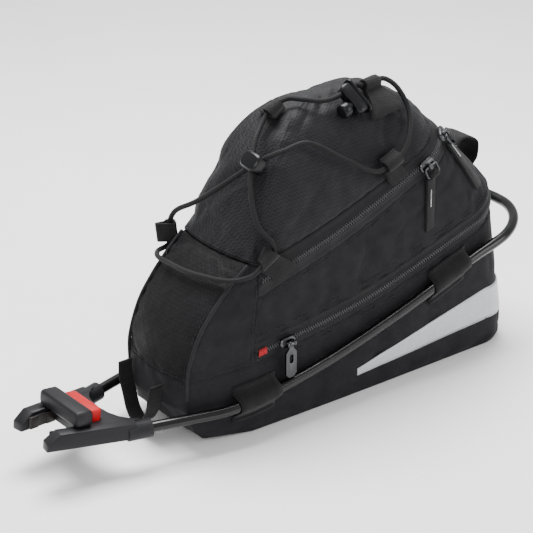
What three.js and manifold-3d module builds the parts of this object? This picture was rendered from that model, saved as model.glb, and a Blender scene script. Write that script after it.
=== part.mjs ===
// A bicycle saddle bag: a wedge-shaped fabric bag with a domed lid, held by webbing
// loops in a U-shaped steel rail whose two ends sit in a fork-shaped quick-release adapter.
// Millimetres, +Z up, +X to the rear of the bicycle. The origin is the middle of the
// bag's flat base. Pieces on the -Y side are called near, those on the +Y side far.
import * as THREE from "three";
import { mergeVertices } from "three/addons/utils/BufferGeometryUtils.js";
import Module from "manifold-3d";

const wasm = await Module();
wasm.setup();

// Fabric bag, main sizes
const BAG_LENGTH = 316; // front panel to the rear of the base
const BAG_HALF = 46; // half the width at the rail's height
const BAG_HEIGHT = 198; // base to the rear edge of the lid
const LID_RISE = 72; // the crown of the lid above the middle of its zip line
const RIDGE_BASE = 0.82; // the height that the rise is measured from, as a share of BAG_HEIGHT
const WALL = 1.8; // fabric of the bag's panels
const SEAM_GAP = 0.3; // between two panels, and between any two pieces that touch
const FRONT_SWEEP = 53; // how far the front panel leans back from its foot to the lid
const FRONT_FOOT = 55; // height of the seam under the front panel
const FRONT_TOP = 135; // height of the seam between the front panel and the lid
const FRONT_CROWN = 5; // the front panel's outward bulge between its pipings
const SIDE_SEAM = 55; // from the bag's front to the upright seam where the zips start
const SEAM_LEAN = 6; // how far that seam leans back at its top
const PIPING_RADIUS = 1.3;

// Zips
const ZIP_LIFT = 1; // the coil above its tape
const SLIDER_LENGTH = 14;
const SLIDER_WIDTH = 8;
const SLIDER_HEIGHT = 3.4;
const LOWER_SLIDER_AT = 82; // behind the bag's front
const PULL_LENGTH = 27; // from the hinge pin down
const PULL_WIDTH = 9.5;
const PULL_THICKNESS = 1.8;
const PULL_PIN_RADIUS = 1;
const SLOT_DROP = -12; // the middle of the pull's slot, from the pin
const PULL_BARREL_RADIUS = 2.1;
const PULL_BARREL_LENGTH = 4;
const EAR_THICKNESS = 1.6;
const RING_WIDTH = 13; // the flat ring between an upper slider and its puller tape
const RING_LENGTH = 9;
const RING_WIRE = 1.4;
const TAPE_WIDTH = 8;
const TAPE_THICKNESS = 1.8;
const NEAR_PULLER_AT = 221; // behind the bag's front
const NEAR_TAPE_LENGTH = 42;
const FAR_PULLER_COLUMN = 17.9; // round the rear corner
const FAR_TAPE_LENGTH = 40;

// Bungee cord, its webbing tabs, crossing clip and cord lock
const CORD_RADIUS = 1.9;
const CORD_CLEARANCE = 0.4;
const TAB_CLEARANCE = 1.25; // round the cord in a tab
const CLIP_LENGTH = 17;
const CLIP_WIDTH = 13;
const CLIP_WALL = 1.2;
const LOCK_LENGTH = 25; // down the slope of the lid
const LOCK_DEPTH = 11;
const LOCK_HEIGHT = 9;
const LOCK_SEAT = 1.5; // under the middle of the lock
const LOCK_TURN = 14; // degrees, about the lid's normal
const FLANGE_THICKNESS = 2.2;
const FLANGE_LENGTH = 29;
const FLANGE_HEIGHT = 10.5;
const CHANNEL_OFFSET = 8.2; // the cord's channel, up the slope from the lock's middle
const KNOB_OFFSET = 3.4; // the push button, down the slope
const KNOB_RADIUS = 5.6;
const KNOB_LENGTH = 7;
const KNOB_TRAVEL = 3;
const NECK_RADIUS = 3.2;
const NECK_DEPTH = 5.5; // of the neck inside the body

// Reflective band
const BAND_THICKNESS = 0.5;
const BAND_TIP = 150; // from the bag's front to the wedge's tip
const BAND_LOW = 25; // lower edge at the rear
const BAND_HIGH = 52; // upper edge at the rear
const BAND_TIP_LOW = 17;
const BAND_TIP_HIGH = 23;

// Rail
const ROD_RADIUS = 4;
const RAIL_CLEARANCE = 1; // between the rod and the bag's side
const RAIL_BEND_RADIUS = 45;
const SOCKET_HEIGHT = 30; // the rod's centre where it leaves the adapter
const RAIL_RISE = 72; // the bend's centre above the sockets
const SOCKET_SETBACK = 30; // from the sockets' rear ends back to the bag's front
const REAR_REACH = 19; // the bend's centre line behind the rear of the base
const SOCKET_HALF = 34; // half the distance between the rod's ends
const SOCKET_DEPTH = 14;

// Adapter
const ADAPTER_PITCH = 6; // degrees, nose up
const PRONG_REACH = 78; // from the sockets' rear ends to the prongs' tips
const PRONG_TIP_HALF = 18;
const PRONG_WIDTH = 11;
const PRONG_NOSE = 9; // length of the slanted top at the tip
const PRONG_NOSE_DROP = 7;
const ADAPTER_HEIGHT = 13;
const SOCKET_RADIUS = 7;
const WEB_THICKNESS = 11;
const WEB_FRONT = 48; // ahead of the sockets' rear ends
const WEB_REAR = 22;
const WEB_FRONT_HALF = 22;
const BRIDGE_LENGTH = 50;
const BRIDGE_DEPTH = 14;
const BRIDGE_HEIGHT = 12;
const BRIDGE_AT = 50; // ahead of the sockets' rear ends
const BUTTON_LENGTH = 36;
const BUTTON_DEPTH = 10.5;
const BUTTON_HEIGHT = 8.5;
const BUTTON_TRAVEL = 2.5;
const BUTTON_AT = 36.5;
const BUTTON_SINK = 5; // how deep the button sits in the web
const PAD_HEIGHT = 9;
const PAD_THICKNESS = 2;
const PAD_SETBACK = 5; // from the prong's tip
const PAD_LENGTH = PRONG_REACH - PAD_SETBACK - WEB_FRONT - 1;

// Webbing
const WEBBING = 1.4;
const RAIL_LOOP_WIDTH = 36;
const LOOP_ABOVE = 9;
const LOOP_BELOW = 12;
const FRONT_LOOP_AT = 84; // middle of the front loops, behind the sockets' rear ends
const REAR_LOOP_AT = 269;
const LIGHT_LOOP_WIDTH = 24;
const LIGHT_LOOP_STANDOFF = 17;
const LIGHT_LOOP_TOP = 162;
const LIGHT_LOOP_FOOT = 141;
const STRAP_WIDTH = 12;
const STRAP_FOOT = 26;
// The front strap's line seen from the front, from the far end to the near one.
const STRAP_LINE = [
  { y: 30, z: 50 },
  { y: 30.5, z: 38 },
  { y: 29, z: 24 },
  { y: 23, z: 12 },
  { y: 14, z: 7 },
  { y: 5, z: 11 },
  { y: -3, z: 22 },
  { y: -9, z: 35 },
  { y: -13, z: 47 },
];

const BAG_FRONT = -BAG_LENGTH / 2;

// Small vector helpers
const vec = (x, y, z) => new THREE.Vector3(x, y, z);
const lerp = THREE.MathUtils.lerp;
const radians = THREE.MathUtils.degToRad;

// A closed geometry from points and triangles, with shared points merged.
function geometryOf(points, triangles) {
  const geometry = new THREE.BufferGeometry().setFromPoints(points);
  geometry.setIndex(triangles);
  return geometry;
}

function toSolid(geometry) {
  const bare = geometry.clone();
  bare.deleteAttribute("normal");
  bare.deleteAttribute("uv");
  const merged = mergeVertices(bare, 1e-4);
  return new wasm.Manifold(
    new wasm.Mesh({
      numProp: 3,
      vertProperties: merged.attributes.position.array,
      triVerts: new Uint32Array(merged.index.array),
    }),
  );
}

function fromSolid(solid) {
  const mesh = solid.getMesh();
  const geometry = new THREE.BufferGeometry();
  geometry.setAttribute("position", new THREE.BufferAttribute(mesh.vertProperties, 3));
  geometry.setIndex(new THREE.BufferAttribute(mesh.triVerts, 1));
  return geometry;
}

function joined(...geometries) {
  return fromSolid(geometries.map(toSolid).reduce((a, b) => a.add(b)));
}

function cut(geometry, ...tools) {
  return fromSolid(tools.map(toSolid).reduce((a, b) => a.subtract(b), toSolid(geometry)));
}

// A smooth value through a few stations: [[share, value], ...], shares rising.
function smooth(stations, share) {
  const last = stations.length - 1;
  let i = 0;
  while (i < last - 1 && share > stations[i + 1][0]) i += 1;
  const slope = (k) => {
    const a = stations[Math.max(0, k - 1)];
    const b = stations[Math.min(last, k + 1)];
    return (b[1] - a[1]) / (b[0] - a[0]);
  };
  const [x0, y0] = stations[i];
  const [x1, y1] = stations[i + 1];
  const span = x1 - x0;
  const t = THREE.MathUtils.clamp((share - x0) / span, 0, 1);
  const t2 = t * t;
  const t3 = t2 * t;
  return (
    (2 * t3 - 3 * t2 + 1) * y0 +
    (t3 - 2 * t2 + t) * span * slope(i) +
    (3 * t2 - 2 * t3) * y1 +
    (t3 - t2) * span * slope(i + 1)
  );
}

// Body of the bag
// Each row is a line that runs round the bag. Lengths along X are shares of BAG_LENGTH
// from the bag's front, half-widths are shares of BAG_HALF, and heights are shares of
// BAG_HEIGHT: at the front, at the upright side seam, half way along the side, where the
// rear corner starts, and at the rear.
const BODY_ROWS = {
  bottom: { front: 0.05, frontHalf: 0.72, half: 0.93, rear: 0.988, radius: 24, crown: 0.1,
    heights: [0.022, 0.003, 0, 0, 0] },
  edge: { front: 0.022, frontHalf: 0.77, half: 0.985, rear: 0.994, radius: 25, crown: 0.3,
    heights: [0.066, 0.035, 0.03, 0.03, 0.03] },
  tuck: { front: 0.003, frontHalf: 0.783, half: 1, rear: 0.992, radius: 26, crown: 0.7,
    heights: [0.155, 0.12, 0.11, 0.13, 0.14] },
  lowerSeam: { front: 0.003, frontHalf: 0.783, half: 1, rear: 0.946, radius: 28, crown: 1,
    heights: [FRONT_FOOT / BAG_HEIGHT, 0.288, 0.369, 0.523, 0.606] },
  lowerZipTop: { front: 0, frontHalf: 0.79, half: 1.015, rear: 0.94, radius: 29, crown: 1,
    heights: [0, 0.37, 0.45, 0.609, 0.692] },
  upperZipFoot: { front: 0, frontHalf: 0.83, half: 1.0, rear: 0.8, radius: 33, crown: 1,
    heights: [0, 0.55, 0.672, 0.838, 0.93] },
  lidEdge: { front: 0, frontHalf: 0.86, half: 0.935, rear: 0.753, radius: 29, crown: 1,
    heights: [0, 0.665, 0.773, 0.914, 1] },
};

// How the columns of the body's grid share out half of its girth.
const FACE_COLUMNS = 3;
const FRONT_SIDE_COLUMNS = 4;
const SIDE_COLUMNS = 8;
const CORNER_COLUMNS = 5;
const REAR_COLUMNS = 2;
const PIPING_COLUMN = FACE_COLUMNS;
const SEAM_COLUMN = PIPING_COLUMN + FRONT_SIDE_COLUMNS;
const CORNER_COLUMN = SEAM_COLUMN + SIDE_COLUMNS;
const REAR_COLUMN = CORNER_COLUMN + CORNER_COLUMNS + REAR_COLUMNS;
const COLUMNS = 2 * REAR_COLUMN;

// A row between two named ones; `upper` is the share from the lower seam to the lid.
function mixRows(a, b, t, upper) {
  const row = {
    frontX: lerp(a.front, b.front, t) * BAG_LENGTH,
    frontHalf: lerp(a.frontHalf, b.frontHalf, t) * BAG_HALF,
    half: lerp(a.half, b.half, t) * BAG_HALF,
    rearX: lerp(a.rear, b.rear, t) * BAG_LENGTH,
    radius: lerp(a.radius, b.radius, t),
    heights: a.heights.map((h, i) => lerp(h, b.heights[i], t) * BAG_HEIGHT),
    seamX: SIDE_SEAM + SEAM_LEAN * upper ** 3,
    crown: lerp(a.crown, b.crown, t) * FRONT_CROWN,
  };
  if (upper > 0) {
    row.frontX = FRONT_SWEEP * upper * upper + BODY_ROWS.lowerSeam.front * BAG_LENGTH;
    row.heights[0] = lerp(FRONT_FOOT, FRONT_TOP, upper);
  }
  return row;
}

// The point of a row at a column, on the near side; whole columns are grid points.
function rowPoint(row, column) {
  const seamX = row.seamX;
  const cornerX = row.rearX - row.radius;
  const side = (x) => {
    const share = (x - seamX) / (cornerX - seamX);
    const stations = [[0, row.heights[1]], [0.5, row.heights[2]], [1, row.heights[3]]];
    return smooth(stations, share);
  };
  let x;
  let y;
  let z;
  if (column <= PIPING_COLUMN) {
    const share = column / PIPING_COLUMN;
    y = row.frontHalf * share;
    x = row.frontX - row.crown * (1 - share * share);
    z = row.heights[0];
  } else if (column <= SEAM_COLUMN) {
    const share = (column - PIPING_COLUMN) / FRONT_SIDE_COLUMNS;
    x = lerp(row.frontX, seamX, share);
    y = lerp(row.frontHalf, row.half * 0.97, share ** 0.8);
    z = lerp(row.heights[0], row.heights[1], share);
  } else if (column <= CORNER_COLUMN) {
    const share = (column - SEAM_COLUMN) / SIDE_COLUMNS;
    x = lerp(seamX, cornerX, share);
    y = row.half * (0.97 + 0.03 * Math.sin(Math.min(1, share * 2.2) * Math.PI / 2));
    z = side(x);
  } else {
    const share = Math.min(1, (column - CORNER_COLUMN) / CORNER_COLUMNS);
    const turn = (share * Math.PI) / 2;
    x = cornerX + row.radius * Math.sin(turn);
    y = row.half - row.radius * (1 - Math.cos(turn));
    z = lerp(row.heights[3], row.heights[4], Math.sin(turn * 0.9));
    if (column > CORNER_COLUMN + CORNER_COLUMNS) {
      const across = (column - CORNER_COLUMN - CORNER_COLUMNS) / REAR_COLUMNS;
      y *= 1 - across;
      x += 2 * (1 - (1 - across) ** 2);
      z = lerp(z, row.heights[4], across);
    }
  }
  return vec(BAG_FRONT + x, -y, z);
}

// Any column of the whole girth: 0 is the front's middle, REAR_COLUMN the rear's.
function girthPoint(row, column) {
  const c = ((column % COLUMNS) + COLUMNS) % COLUMNS;
  if (c <= REAR_COLUMN) return rowPoint(row, c);
  const mirrored = rowPoint(row, COLUMNS - c);
  mirrored.y *= -1;
  return mirrored;
}

const LOWER_ZIP_SHARE = 0.14;
const UPPER_ZIP_SHARE = 0.8;

// Levels of the body: 0 bottom, 1 edge, 2 tuck, 3 lower seam, 4 top of the lower zip,
// 5 foot of the upper zip, 6 edge of the lid.
const PIPING_LEVELS = [2.45, 2.7, 3, 3.5, 4, 4.5, 5, 5.5, 5.95];
const BAND_LEVEL = 2.2; // through the reflective band
const LOWER_COIL = 3.5;
const UPPER_COIL = 5.5;

// All rows of the body, from the base up, with the share of the upper body they lie at.
function bodyRow(level) {
  const r = BODY_ROWS;
  if (level <= 1) return mixRows(r.bottom, r.edge, level, 0);
  if (level <= 2) return mixRows(r.edge, r.tuck, level - 1, 0);
  if (level <= 3) return mixRows(r.tuck, r.lowerSeam, level - 2, 0);
  if (level <= 4) {
    const t = level - 3;
    return mixRows(r.lowerSeam, r.lowerZipTop, t, Math.max(1e-6, t * LOWER_ZIP_SHARE));
  }
  if (level <= 5) {
    const t = level - 4;
    return mixRows(r.lowerZipTop, r.upperZipFoot, t, lerp(LOWER_ZIP_SHARE, UPPER_ZIP_SHARE, t));
  }
  const t = level - 5;
  return mixRows(r.upperZipFoot, r.lidEdge, t, lerp(UPPER_ZIP_SHARE, 1, t));
}

// A point of the body's outside and its outward direction, at a level and a column.
function bodyAt(level, column) {
  const at = (l, c) => girthPoint(bodyRow(l), c);
  const up = at(Math.min(6, level + 0.05), column).sub(at(Math.max(0, level - 0.05), column));
  const along = at(level, column + 0.25).sub(at(level, column - 0.25));
  const normal = along.cross(up).normalize();
  return { point: at(level, column), normal };
}

// The level at which a column of the body reaches a height.
function levelAt(height, column) {
  let low = 0;
  let high = 6;
  for (let i = 0; i < 24; i += 1) {
    const middle = (low + high) / 2;
    if (girthPoint(bodyRow(middle), column).z < height) low = middle;
    else high = middle;
  }
  return (low + high) / 2;
}

// The near column whose point lies a distance behind the bag's front at a level.
function columnAt(distance, level) {
  let low = PIPING_COLUMN;
  let high = CORNER_COLUMN;
  for (let i = 0; i < 24; i += 1) {
    const middle = (low + high) / 2;
    if (girthPoint(bodyRow(level), middle).x - BAG_FRONT < distance) low = middle;
    else high = middle;
  }
  return (low + high) / 2;
}

// The near side's outside at a distance behind the bag's front and a height.
function wallAt(distance, height) {
  let column = (SEAM_COLUMN + CORNER_COLUMN) / 2;
  let level = 3;
  for (let i = 0; i < 5; i += 1) {
    level = levelAt(height, column);
    column = columnAt(distance, level);
  }
  return bodyAt(level, column);
}

// A fabric wall between two sheets of points; `sheet[i][j]` holds {point, normal}.
// `lift` puts the outside that far out along the normals.
function wallOf(sheet, options = {}) {
  const { thickness = WALL, lift = 0, closed = false, capped = false, bridged = false } = options;
  const rows = sheet.length;
  const columns = sheet[0].length;
  const points = [];
  for (const depth of [lift, lift - thickness])
    for (const { point, normal } of sheet.flat())
      points.push(point.clone().addScaledVector(normal, depth));
  const half = rows * columns;
  const id = (side, i, j) => side * half + i * columns + (j % columns);
  const triangles = [];
  const quad = (a, b, c, d) => triangles.push(a, b, c, a, c, d);
  const across = closed ? columns : columns - 1;
  for (let i = 0; i < rows - 1; i += 1)
    for (let j = 0; j < across; j += 1) {
      quad(id(0, i, j), id(0, i, j + 1), id(0, i + 1, j + 1), id(0, i + 1, j));
      quad(id(1, i, j), id(1, i + 1, j), id(1, i + 1, j + 1), id(1, i, j + 1));
    }
  if (bridged)
    // The last row is a long loop: its near and far halves are joined across.
    for (let j = 0; j < columns / 2; j += 1) {
      const other = (k) => (columns - k) % columns;
      const loop = [j, j + 1, other(j + 1), other(j)].filter((k, i, all) => all.indexOf(k) === i);
      for (let k = 1; k < loop.length - 1; k += 1) {
        triangles.push(...[loop[0], loop[k], loop[k + 1]].map((c) => id(0, rows - 1, c)));
        triangles.push(...[loop[0], loop[k + 1], loop[k]].map((c) => id(1, rows - 1, c)));
      }
    }
  else
    for (let j = 0; j < across; j += 1)
      quad(id(0, rows - 1, j), id(0, rows - 1, j + 1), id(1, rows - 1, j + 1), id(1, rows - 1, j));
  if (capped) {
    const middle = (side) => {
      const centre = vec(0, 0, 0);
      for (let j = 0; j < columns; j += 1) centre.add(points[id(side, 0, j)]);
      centre.divideScalar(columns);
      return points.push(vec(0, 0, centre.z)) - 1;
    };
    const outside = middle(0);
    const inside = middle(1);
    for (let j = 0; j < across; j += 1) {
      triangles.push(outside, id(0, 0, j + 1), id(0, 0, j));
      triangles.push(inside, id(1, 0, j), id(1, 0, j + 1));
    }
  } else {
    for (let j = 0; j < across; j += 1)
      quad(id(0, 0, j), id(1, 0, j), id(1, 0, j + 1), id(0, 0, j + 1));
  }
  if (!closed)
    for (let i = 0; i < rows - 1; i += 1) {
      quad(id(0, i, 0), id(0, i + 1, 0), id(1, i + 1, 0), id(1, i, 0));
      const j = columns - 1;
      quad(id(0, i, j), id(1, i, j), id(1, i + 1, j), id(0, i + 1, j));
    }
  return geometryOf(points, triangles);
}

// A piece of the body's surface between two levels and two columns, drawn in by half a
// seam gap at each side that meets another panel.
function bodySheet(levels, columns) {
  return levels.map((level) => columns.map((column) => bodyAt(level, column)));
}

function drawnIn(sheet, sides) {
  const gap = SEAM_GAP / 2;
  const towards = (from, to) => {
    const step = to.point.clone().sub(from.point);
    from.point.addScaledVector(step, Math.min(0.5, gap / step.length()));
  };
  const last = sheet.length - 1;
  const end = sheet[0].length - 1;
  const copies = sheet.map((row) => row.map((p) => ({ point: p.point.clone(), normal: p.normal })));
  if (sides.foot) copies[0].forEach((p, j) => towards(p, copies[1][j]));
  if (sides.top) copies[last].forEach((p, j) => towards(p, copies[last - 1][j]));
  if (sides.start) copies.forEach((row) => towards(row[0], row[1]));
  if (sides.end) copies.forEach((row) => towards(row[end], row[end - 1]));
  return copies;
}

const steps = (from, to, count) =>
  Array.from({ length: count + 1 }, (_, i) => lerp(from, to, i / count));

// Lid
// The lid rises from the body's topmost row to a short level ridge. `rise` is 0 at the
// edge and 1 on the ridge; each column of the girth runs straight to it in plan.
const RIDGE_START = 0.435; // shares of BAG_LENGTH from the bag's front
const RIDGE_END = 0.545;
const RIDGE_HALF = 3;
// How full the dome is above the front seam, the sides and the rear.
const DOME = {
  front: { roundness: 2, shoulder: 0.8 },
  side: { roundness: 2.3, shoulder: 0.6 },
  rear: { roundness: 2, shoulder: 0.85 },
};
const LID_EASING = 3;
const LID_STEPS = [0, 0.03, 0.1, 0.22, 0.4, 0.65, 1];

function domeAt(column) {
  const c = Math.abs(column) > REAR_COLUMN ? COLUMNS - Math.abs(column) : Math.abs(column);
  const front = THREE.MathUtils.smoothstep(c, PIPING_COLUMN - 2, SEAM_COLUMN + 4);
  const rear = THREE.MathUtils.smoothstep(c, CORNER_COLUMN - 2, REAR_COLUMN - 1);
  const blend = (key) =>
    lerp(lerp(DOME.front[key], DOME.side[key], front), DOME.rear[key], rear);
  return { roundness: blend("roundness"), shoulder: blend("shoulder") };
}

function lidPoint(rise, column) {
  const edge = girthPoint(bodyRow(6), column);
  const row = bodyRow(6);
  const share = THREE.MathUtils.clamp((edge.x - BAG_FRONT - row.frontX) / (row.rearX - row.frontX), 0, 1);
  const ridge = vec(
    BAG_FRONT + BAG_LENGTH * lerp(RIDGE_START, RIDGE_END, share),
    (edge.y / row.half) * RIDGE_HALF,
    RIDGE_BASE * BAG_HEIGHT + LID_RISE,
  );
  const { roundness, shoulder } = domeAt(column);
  const full = (1 - (1 - rise) ** roundness) ** shoulder;
  return vec(
    lerp(edge.x, ridge.x, rise),
    lerp(edge.y, ridge.y, rise),
    lerp(edge.z, ridge.z, full) + SEAM_GAP,
  );
}

function lidAt(rise, column) {
  const d = 0.02;
  const r = THREE.MathUtils.clamp(rise, d, 1 - d);
  const up = lidPoint(r + d, column).sub(lidPoint(r - d, column));
  const along = lidPoint(r, column + 0.25).sub(lidPoint(r, column - 0.25));
  return { point: lidPoint(rise, column), normal: along.cross(up).normalize() };
}

// Materials
const paint = (color, roughness, metalness = 0) =>
  new THREE.MeshStandardMaterial({ color, roughness, metalness });
const FABRIC = paint(0x26252a, 0.85);
const RIPSTOP = paint(0x34363b, 0.7);
const ZIP_TAPE = paint(0x1a1a1c, 0.7);
const PIPING = paint(0x1c1c20, 0.6);
const REFLECTIVE = paint(0xb9bcc0, 0.35, 0.3);
const ROD = paint(0x151516, 0.3, 0.8);
const PLASTIC = paint(0x3a3b3e, 0.5);
const RED = paint(0xd8282c, 0.4);
const PAD = paint(0x231f1e, 0.6);
const STRAP = paint(0x1b1b1e, 0.9);
const METAL = paint(0x6e6f72, 0.35, 0.9);
const CORD = paint(0x17171a, 0.8);

const bag = new THREE.Group();

function add(name, geometry, material, parent = bag) {
  const mesh = new THREE.Mesh(geometry, material);
  mesh.name = name;
  parent.add(mesh);
  return mesh;
}

// Base section: the floor and the wall up to the lower seam, open at its top
function baseSection() {
  const columns = Array.from({ length: COLUMNS }, (_, j) => j);
  const floor = columns.map((column) => {
    const { point } = bodyAt(0, column);
    return { point: vec(point.x * 0.9, point.y * 0.8, 0), normal: vec(0, 0, -1) };
  });
  const wall = bodySheet([0, 0.6, 1.3, 2.1, 3], columns);
  wall[0].forEach((p) => p.normal.add(vec(0, 0, -1)).normalize());
  return wallOf(drawnIn([floor, ...wall], { top: true }), { closed: true, capped: true });
}

add("base_section", baseSection(), FABRIC);

const BACK_COLUMNS = steps(SEAM_COLUMN, COLUMNS - SEAM_COLUMN, COLUMNS - 2 * SEAM_COLUMN);
const ALL_SIDES = { foot: true, top: true, start: true, end: true };

// A zip: tape with its coil standing proud along the middle
const ZIP_SHARES = [0, 0.4, 0.6, 1];

function zipStrip(from, to) {
  const sheet = bodySheet(ZIP_SHARES.map((s) => lerp(from, to, s)), BACK_COLUMNS);
  for (const row of [sheet[1], sheet[2]]) row.forEach((p) => p.point.addScaledVector(p.normal, ZIP_LIFT));
  return wallOf(drawnIn(sheet, ALL_SIDES));
}

add("lower_zip", zipStrip(3, 4), ZIP_TAPE);
add("middle_band", wallOf(drawnIn(bodySheet(steps(4, 5, 2), BACK_COLUMNS), ALL_SIDES)), FABRIC);
add("upper_zip", zipStrip(5, 6), ZIP_TAPE);

const FRONT_LEVELS = [...ZIP_SHARES.map((s) => 3 + s), 4.5, ...ZIP_SHARES.map((s) => 5 + s)];
const faceColumns = steps(-PIPING_COLUMN, PIPING_COLUMN, 2 * PIPING_COLUMN);
const frontSideColumns = steps(PIPING_COLUMN, SEAM_COLUMN, FRONT_SIDE_COLUMNS);
add("front_panel", wallOf(drawnIn(bodySheet(FRONT_LEVELS, faceColumns), ALL_SIDES)), FABRIC);
for (const [name, side] of [["near", 1], ["far", -1]]) {
  const columns = side > 0 ? frontSideColumns : frontSideColumns.map((c) => -c).reverse();
  const sheet = bodySheet(FRONT_LEVELS, columns);
  add(`front_side_${name}`, wallOf(drawnIn(sheet, ALL_SIDES)), FABRIC);
}

// The dome's rows eased along the girth, the edge row kept, so that its corners are soft.
function relaxed(sheet) {
  for (let pass = 0; pass < LID_EASING; pass += 1)
    sheet.slice(1).forEach((row) => {
      const before = row.map((p) => p.point.clone());
      const count = row.length;
      row.forEach((p, j) => {
        const middle = before[(j + 1) % count].clone().add(before[(j + count - 1) % count]);
        p.point.lerp(middle.multiplyScalar(0.5), 0.5);
      });
    });
  sheet.forEach((row, i) =>
    row.forEach((p, j) => {
      const count = row.length;
      const up = sheet[Math.min(sheet.length - 1, i + 1)][j].point.clone();
      up.sub(sheet[Math.max(0, i - 1)][j].point);
      const along = row[(j + 1) % count].point.clone().sub(row[(j + count - 1) % count].point);
      p.normal = along.cross(up).normalize();
    }),
  );
  return sheet;
}

function lidSheet() {
  const columns = Array.from({ length: COLUMNS }, (_, j) => j);
  const sheet = LID_STEPS.map((rise) => columns.map((column) => lidAt(rise, column)));
  return relaxed(sheet);
}

const lidSkin = lidSheet();
add("lid_panel", wallOf(lidSkin, { closed: true, bridged: true }), RIPSTOP);

// The eased lid's outside at a rise and a column, found along the dome's normal.
const lidSurface = new THREE.Mesh(bag.getObjectByName("lid_panel").geometry);
const probe = new THREE.Raycaster();
function onLid(rise, column) {
  const { point, normal } = lidAt(rise, column);
  probe.set(point.clone().addScaledVector(normal, WEBBING * 10), normal.clone().negate());
  const [hit] = probe.intersectObject(lidSurface);
  return { point: hit.point, normal };
}

// Pipings: a cord in a fabric fold along each edge of the front panel
function roundSection(radius, sides) {
  const shape = new THREE.Shape();
  for (let i = 0; i < sides; i += 1) {
    const angle = (2 * Math.PI * i) / sides;
    shape[i ? "lineTo" : "moveTo"](radius * Math.cos(angle), radius * Math.sin(angle));
  }
  return shape;
}

function tube(points, radius, sides, count) {
  const path = new THREE.CatmullRomCurve3(points, false, "centripetal");
  return new THREE.ExtrudeGeometry(roundSection(radius, sides), {
    steps: count,
    extrudePath: path,
    bevelEnabled: false,
  });
}

for (const [name, side] of [["near", 1], ["far", -1]]) {
  const points = PIPING_LEVELS.map((level) => {
    const { point, normal } = bodyAt(level, side * PIPING_COLUMN);
    return point.addScaledVector(normal, PIPING_RADIUS + SEAM_GAP);
  });
  add(`piping_${name}`, tube(points, PIPING_RADIUS, 5, 16), PIPING);
}

// Reflective band: a wedge on each side that runs on round the rear
function reflectiveBand() {
  const start = columnAt(BAND_TIP, BAND_LEVEL);
  const whole = Math.ceil(start);
  const all = [start, ...steps(whole, COLUMNS - whole, COLUMNS - 2 * whole), COLUMNS - start];
  const tip = girthPoint(bodyRow(BAND_LEVEL), start).x;
  const end = girthPoint(bodyRow(BAND_LEVEL), CORNER_COLUMN).x;
  const share = (column) => {
    const near = column > REAR_COLUMN ? COLUMNS - column : column;
    return THREE.MathUtils.clamp((girthPoint(bodyRow(BAND_LEVEL), near).x - tip) / (end - tip), 0, 1);
  };
  const sheet = [0, 1].map((up) =>
    all.map((column) => {
      const low = lerp(BAND_TIP_LOW, BAND_LOW, share(column));
      const high = lerp(BAND_TIP_HIGH, BAND_HIGH, share(column));
      return bodyAt(levelAt(lerp(low, high, up), column), column);
    }),
  );
  return wallOf(sheet, { thickness: BAND_THICKNESS, lift: 1.5 * SEAM_GAP + BAND_THICKNESS });
}

add("reflective_band", reflectiveBand(), REFLECTIVE);

// Rail: one rod, bent to a U, its two ends in the adapter's sockets
const RAIL_HALF = BAG_HALF + ROD_RADIUS + RAIL_CLEARANCE;
const SOCKET_X = BAG_FRONT - SOCKET_SETBACK;
const RAIL_RUN = SOCKET_SETBACK + BAG_LENGTH * BODY_ROWS.bottom.rear + REAR_REACH;
// Along the run from the sockets to the rear: how far the leg has spread from the
// sockets' half distance to the rail's, and how far it has risen.
const RAIL_SHAPE = [
  { along: 0, spread: 0, rise: 0 },
  { along: 0.078, spread: 0.447, rise: 0 },
  { along: 0.152, spread: 0.82, rise: -0.005 },
  { along: 0.222, spread: 0.976, rise: 0.02 },
  { along: 0.313, spread: 1, rise: 0.083 },
  { along: 0.418, spread: 1, rise: 0.18 },
  { along: 0.524, spread: 1, rise: 0.312 },
  { along: 0.634, spread: 1, rise: 0.472 },
  { along: 0.726, spread: 1, rise: 0.625 },
  { along: 0.831, spread: 1, rise: 0.8 },
  { along: 1, spread: 1, rise: 1 },
];

// The rod's centre on one side, at a distance behind the sockets' rear ends.
function railAt(distance, side) {
  const share = distance / RAIL_RUN;
  const column = (key) => smooth(RAIL_SHAPE.map((row) => [row.along, row[key]]), share);
  const bendStart = RAIL_RUN - RAIL_BEND_RADIUS;
  let half = lerp(SOCKET_HALF, RAIL_HALF, column("spread"));
  if (distance > bendStart) {
    const turn = Math.asin(Math.min(1, (distance - bendStart) / RAIL_BEND_RADIUS));
    half = RAIL_HALF - RAIL_BEND_RADIUS * (1 - Math.cos(turn));
  }
  return vec(SOCKET_X + distance, side * half, SOCKET_HEIGHT + RAIL_RISE * column("rise"));
}

const legDirection = (side) => railAt(2, side).sub(railAt(0, side)).normalize();

function railPoints() {
  const bendStart = RAIL_RUN - RAIL_BEND_RADIUS;
  const straight = steps(0, bendStart, 18);
  const bend = steps(0, Math.PI / 2, 6).slice(1);
  const distances = [...straight, ...bend.map((a) => bendStart + RAIL_BEND_RADIUS * Math.sin(a))];
  const half = (side) => {
    const inSocket = railAt(0, side).addScaledVector(legDirection(side), 1 - SOCKET_DEPTH);
    return [inSocket, ...distances.map((d) => railAt(d, side))];
  };
  return [...half(-1), ...half(1).reverse()];
}

add("rail", tube(railPoints(), ROD_RADIUS, 8, 48), ROD);

// Adapter: two prongs and a web, moulded in one with the sockets
const adapterFrame = new THREE.Matrix4()
  .makeTranslation(SOCKET_X, 0, SOCKET_HEIGHT)
  .multiply(new THREE.Matrix4().makeRotationY(radians(ADAPTER_PITCH)));
const TOP = ADAPTER_HEIGHT / 2;

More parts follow.
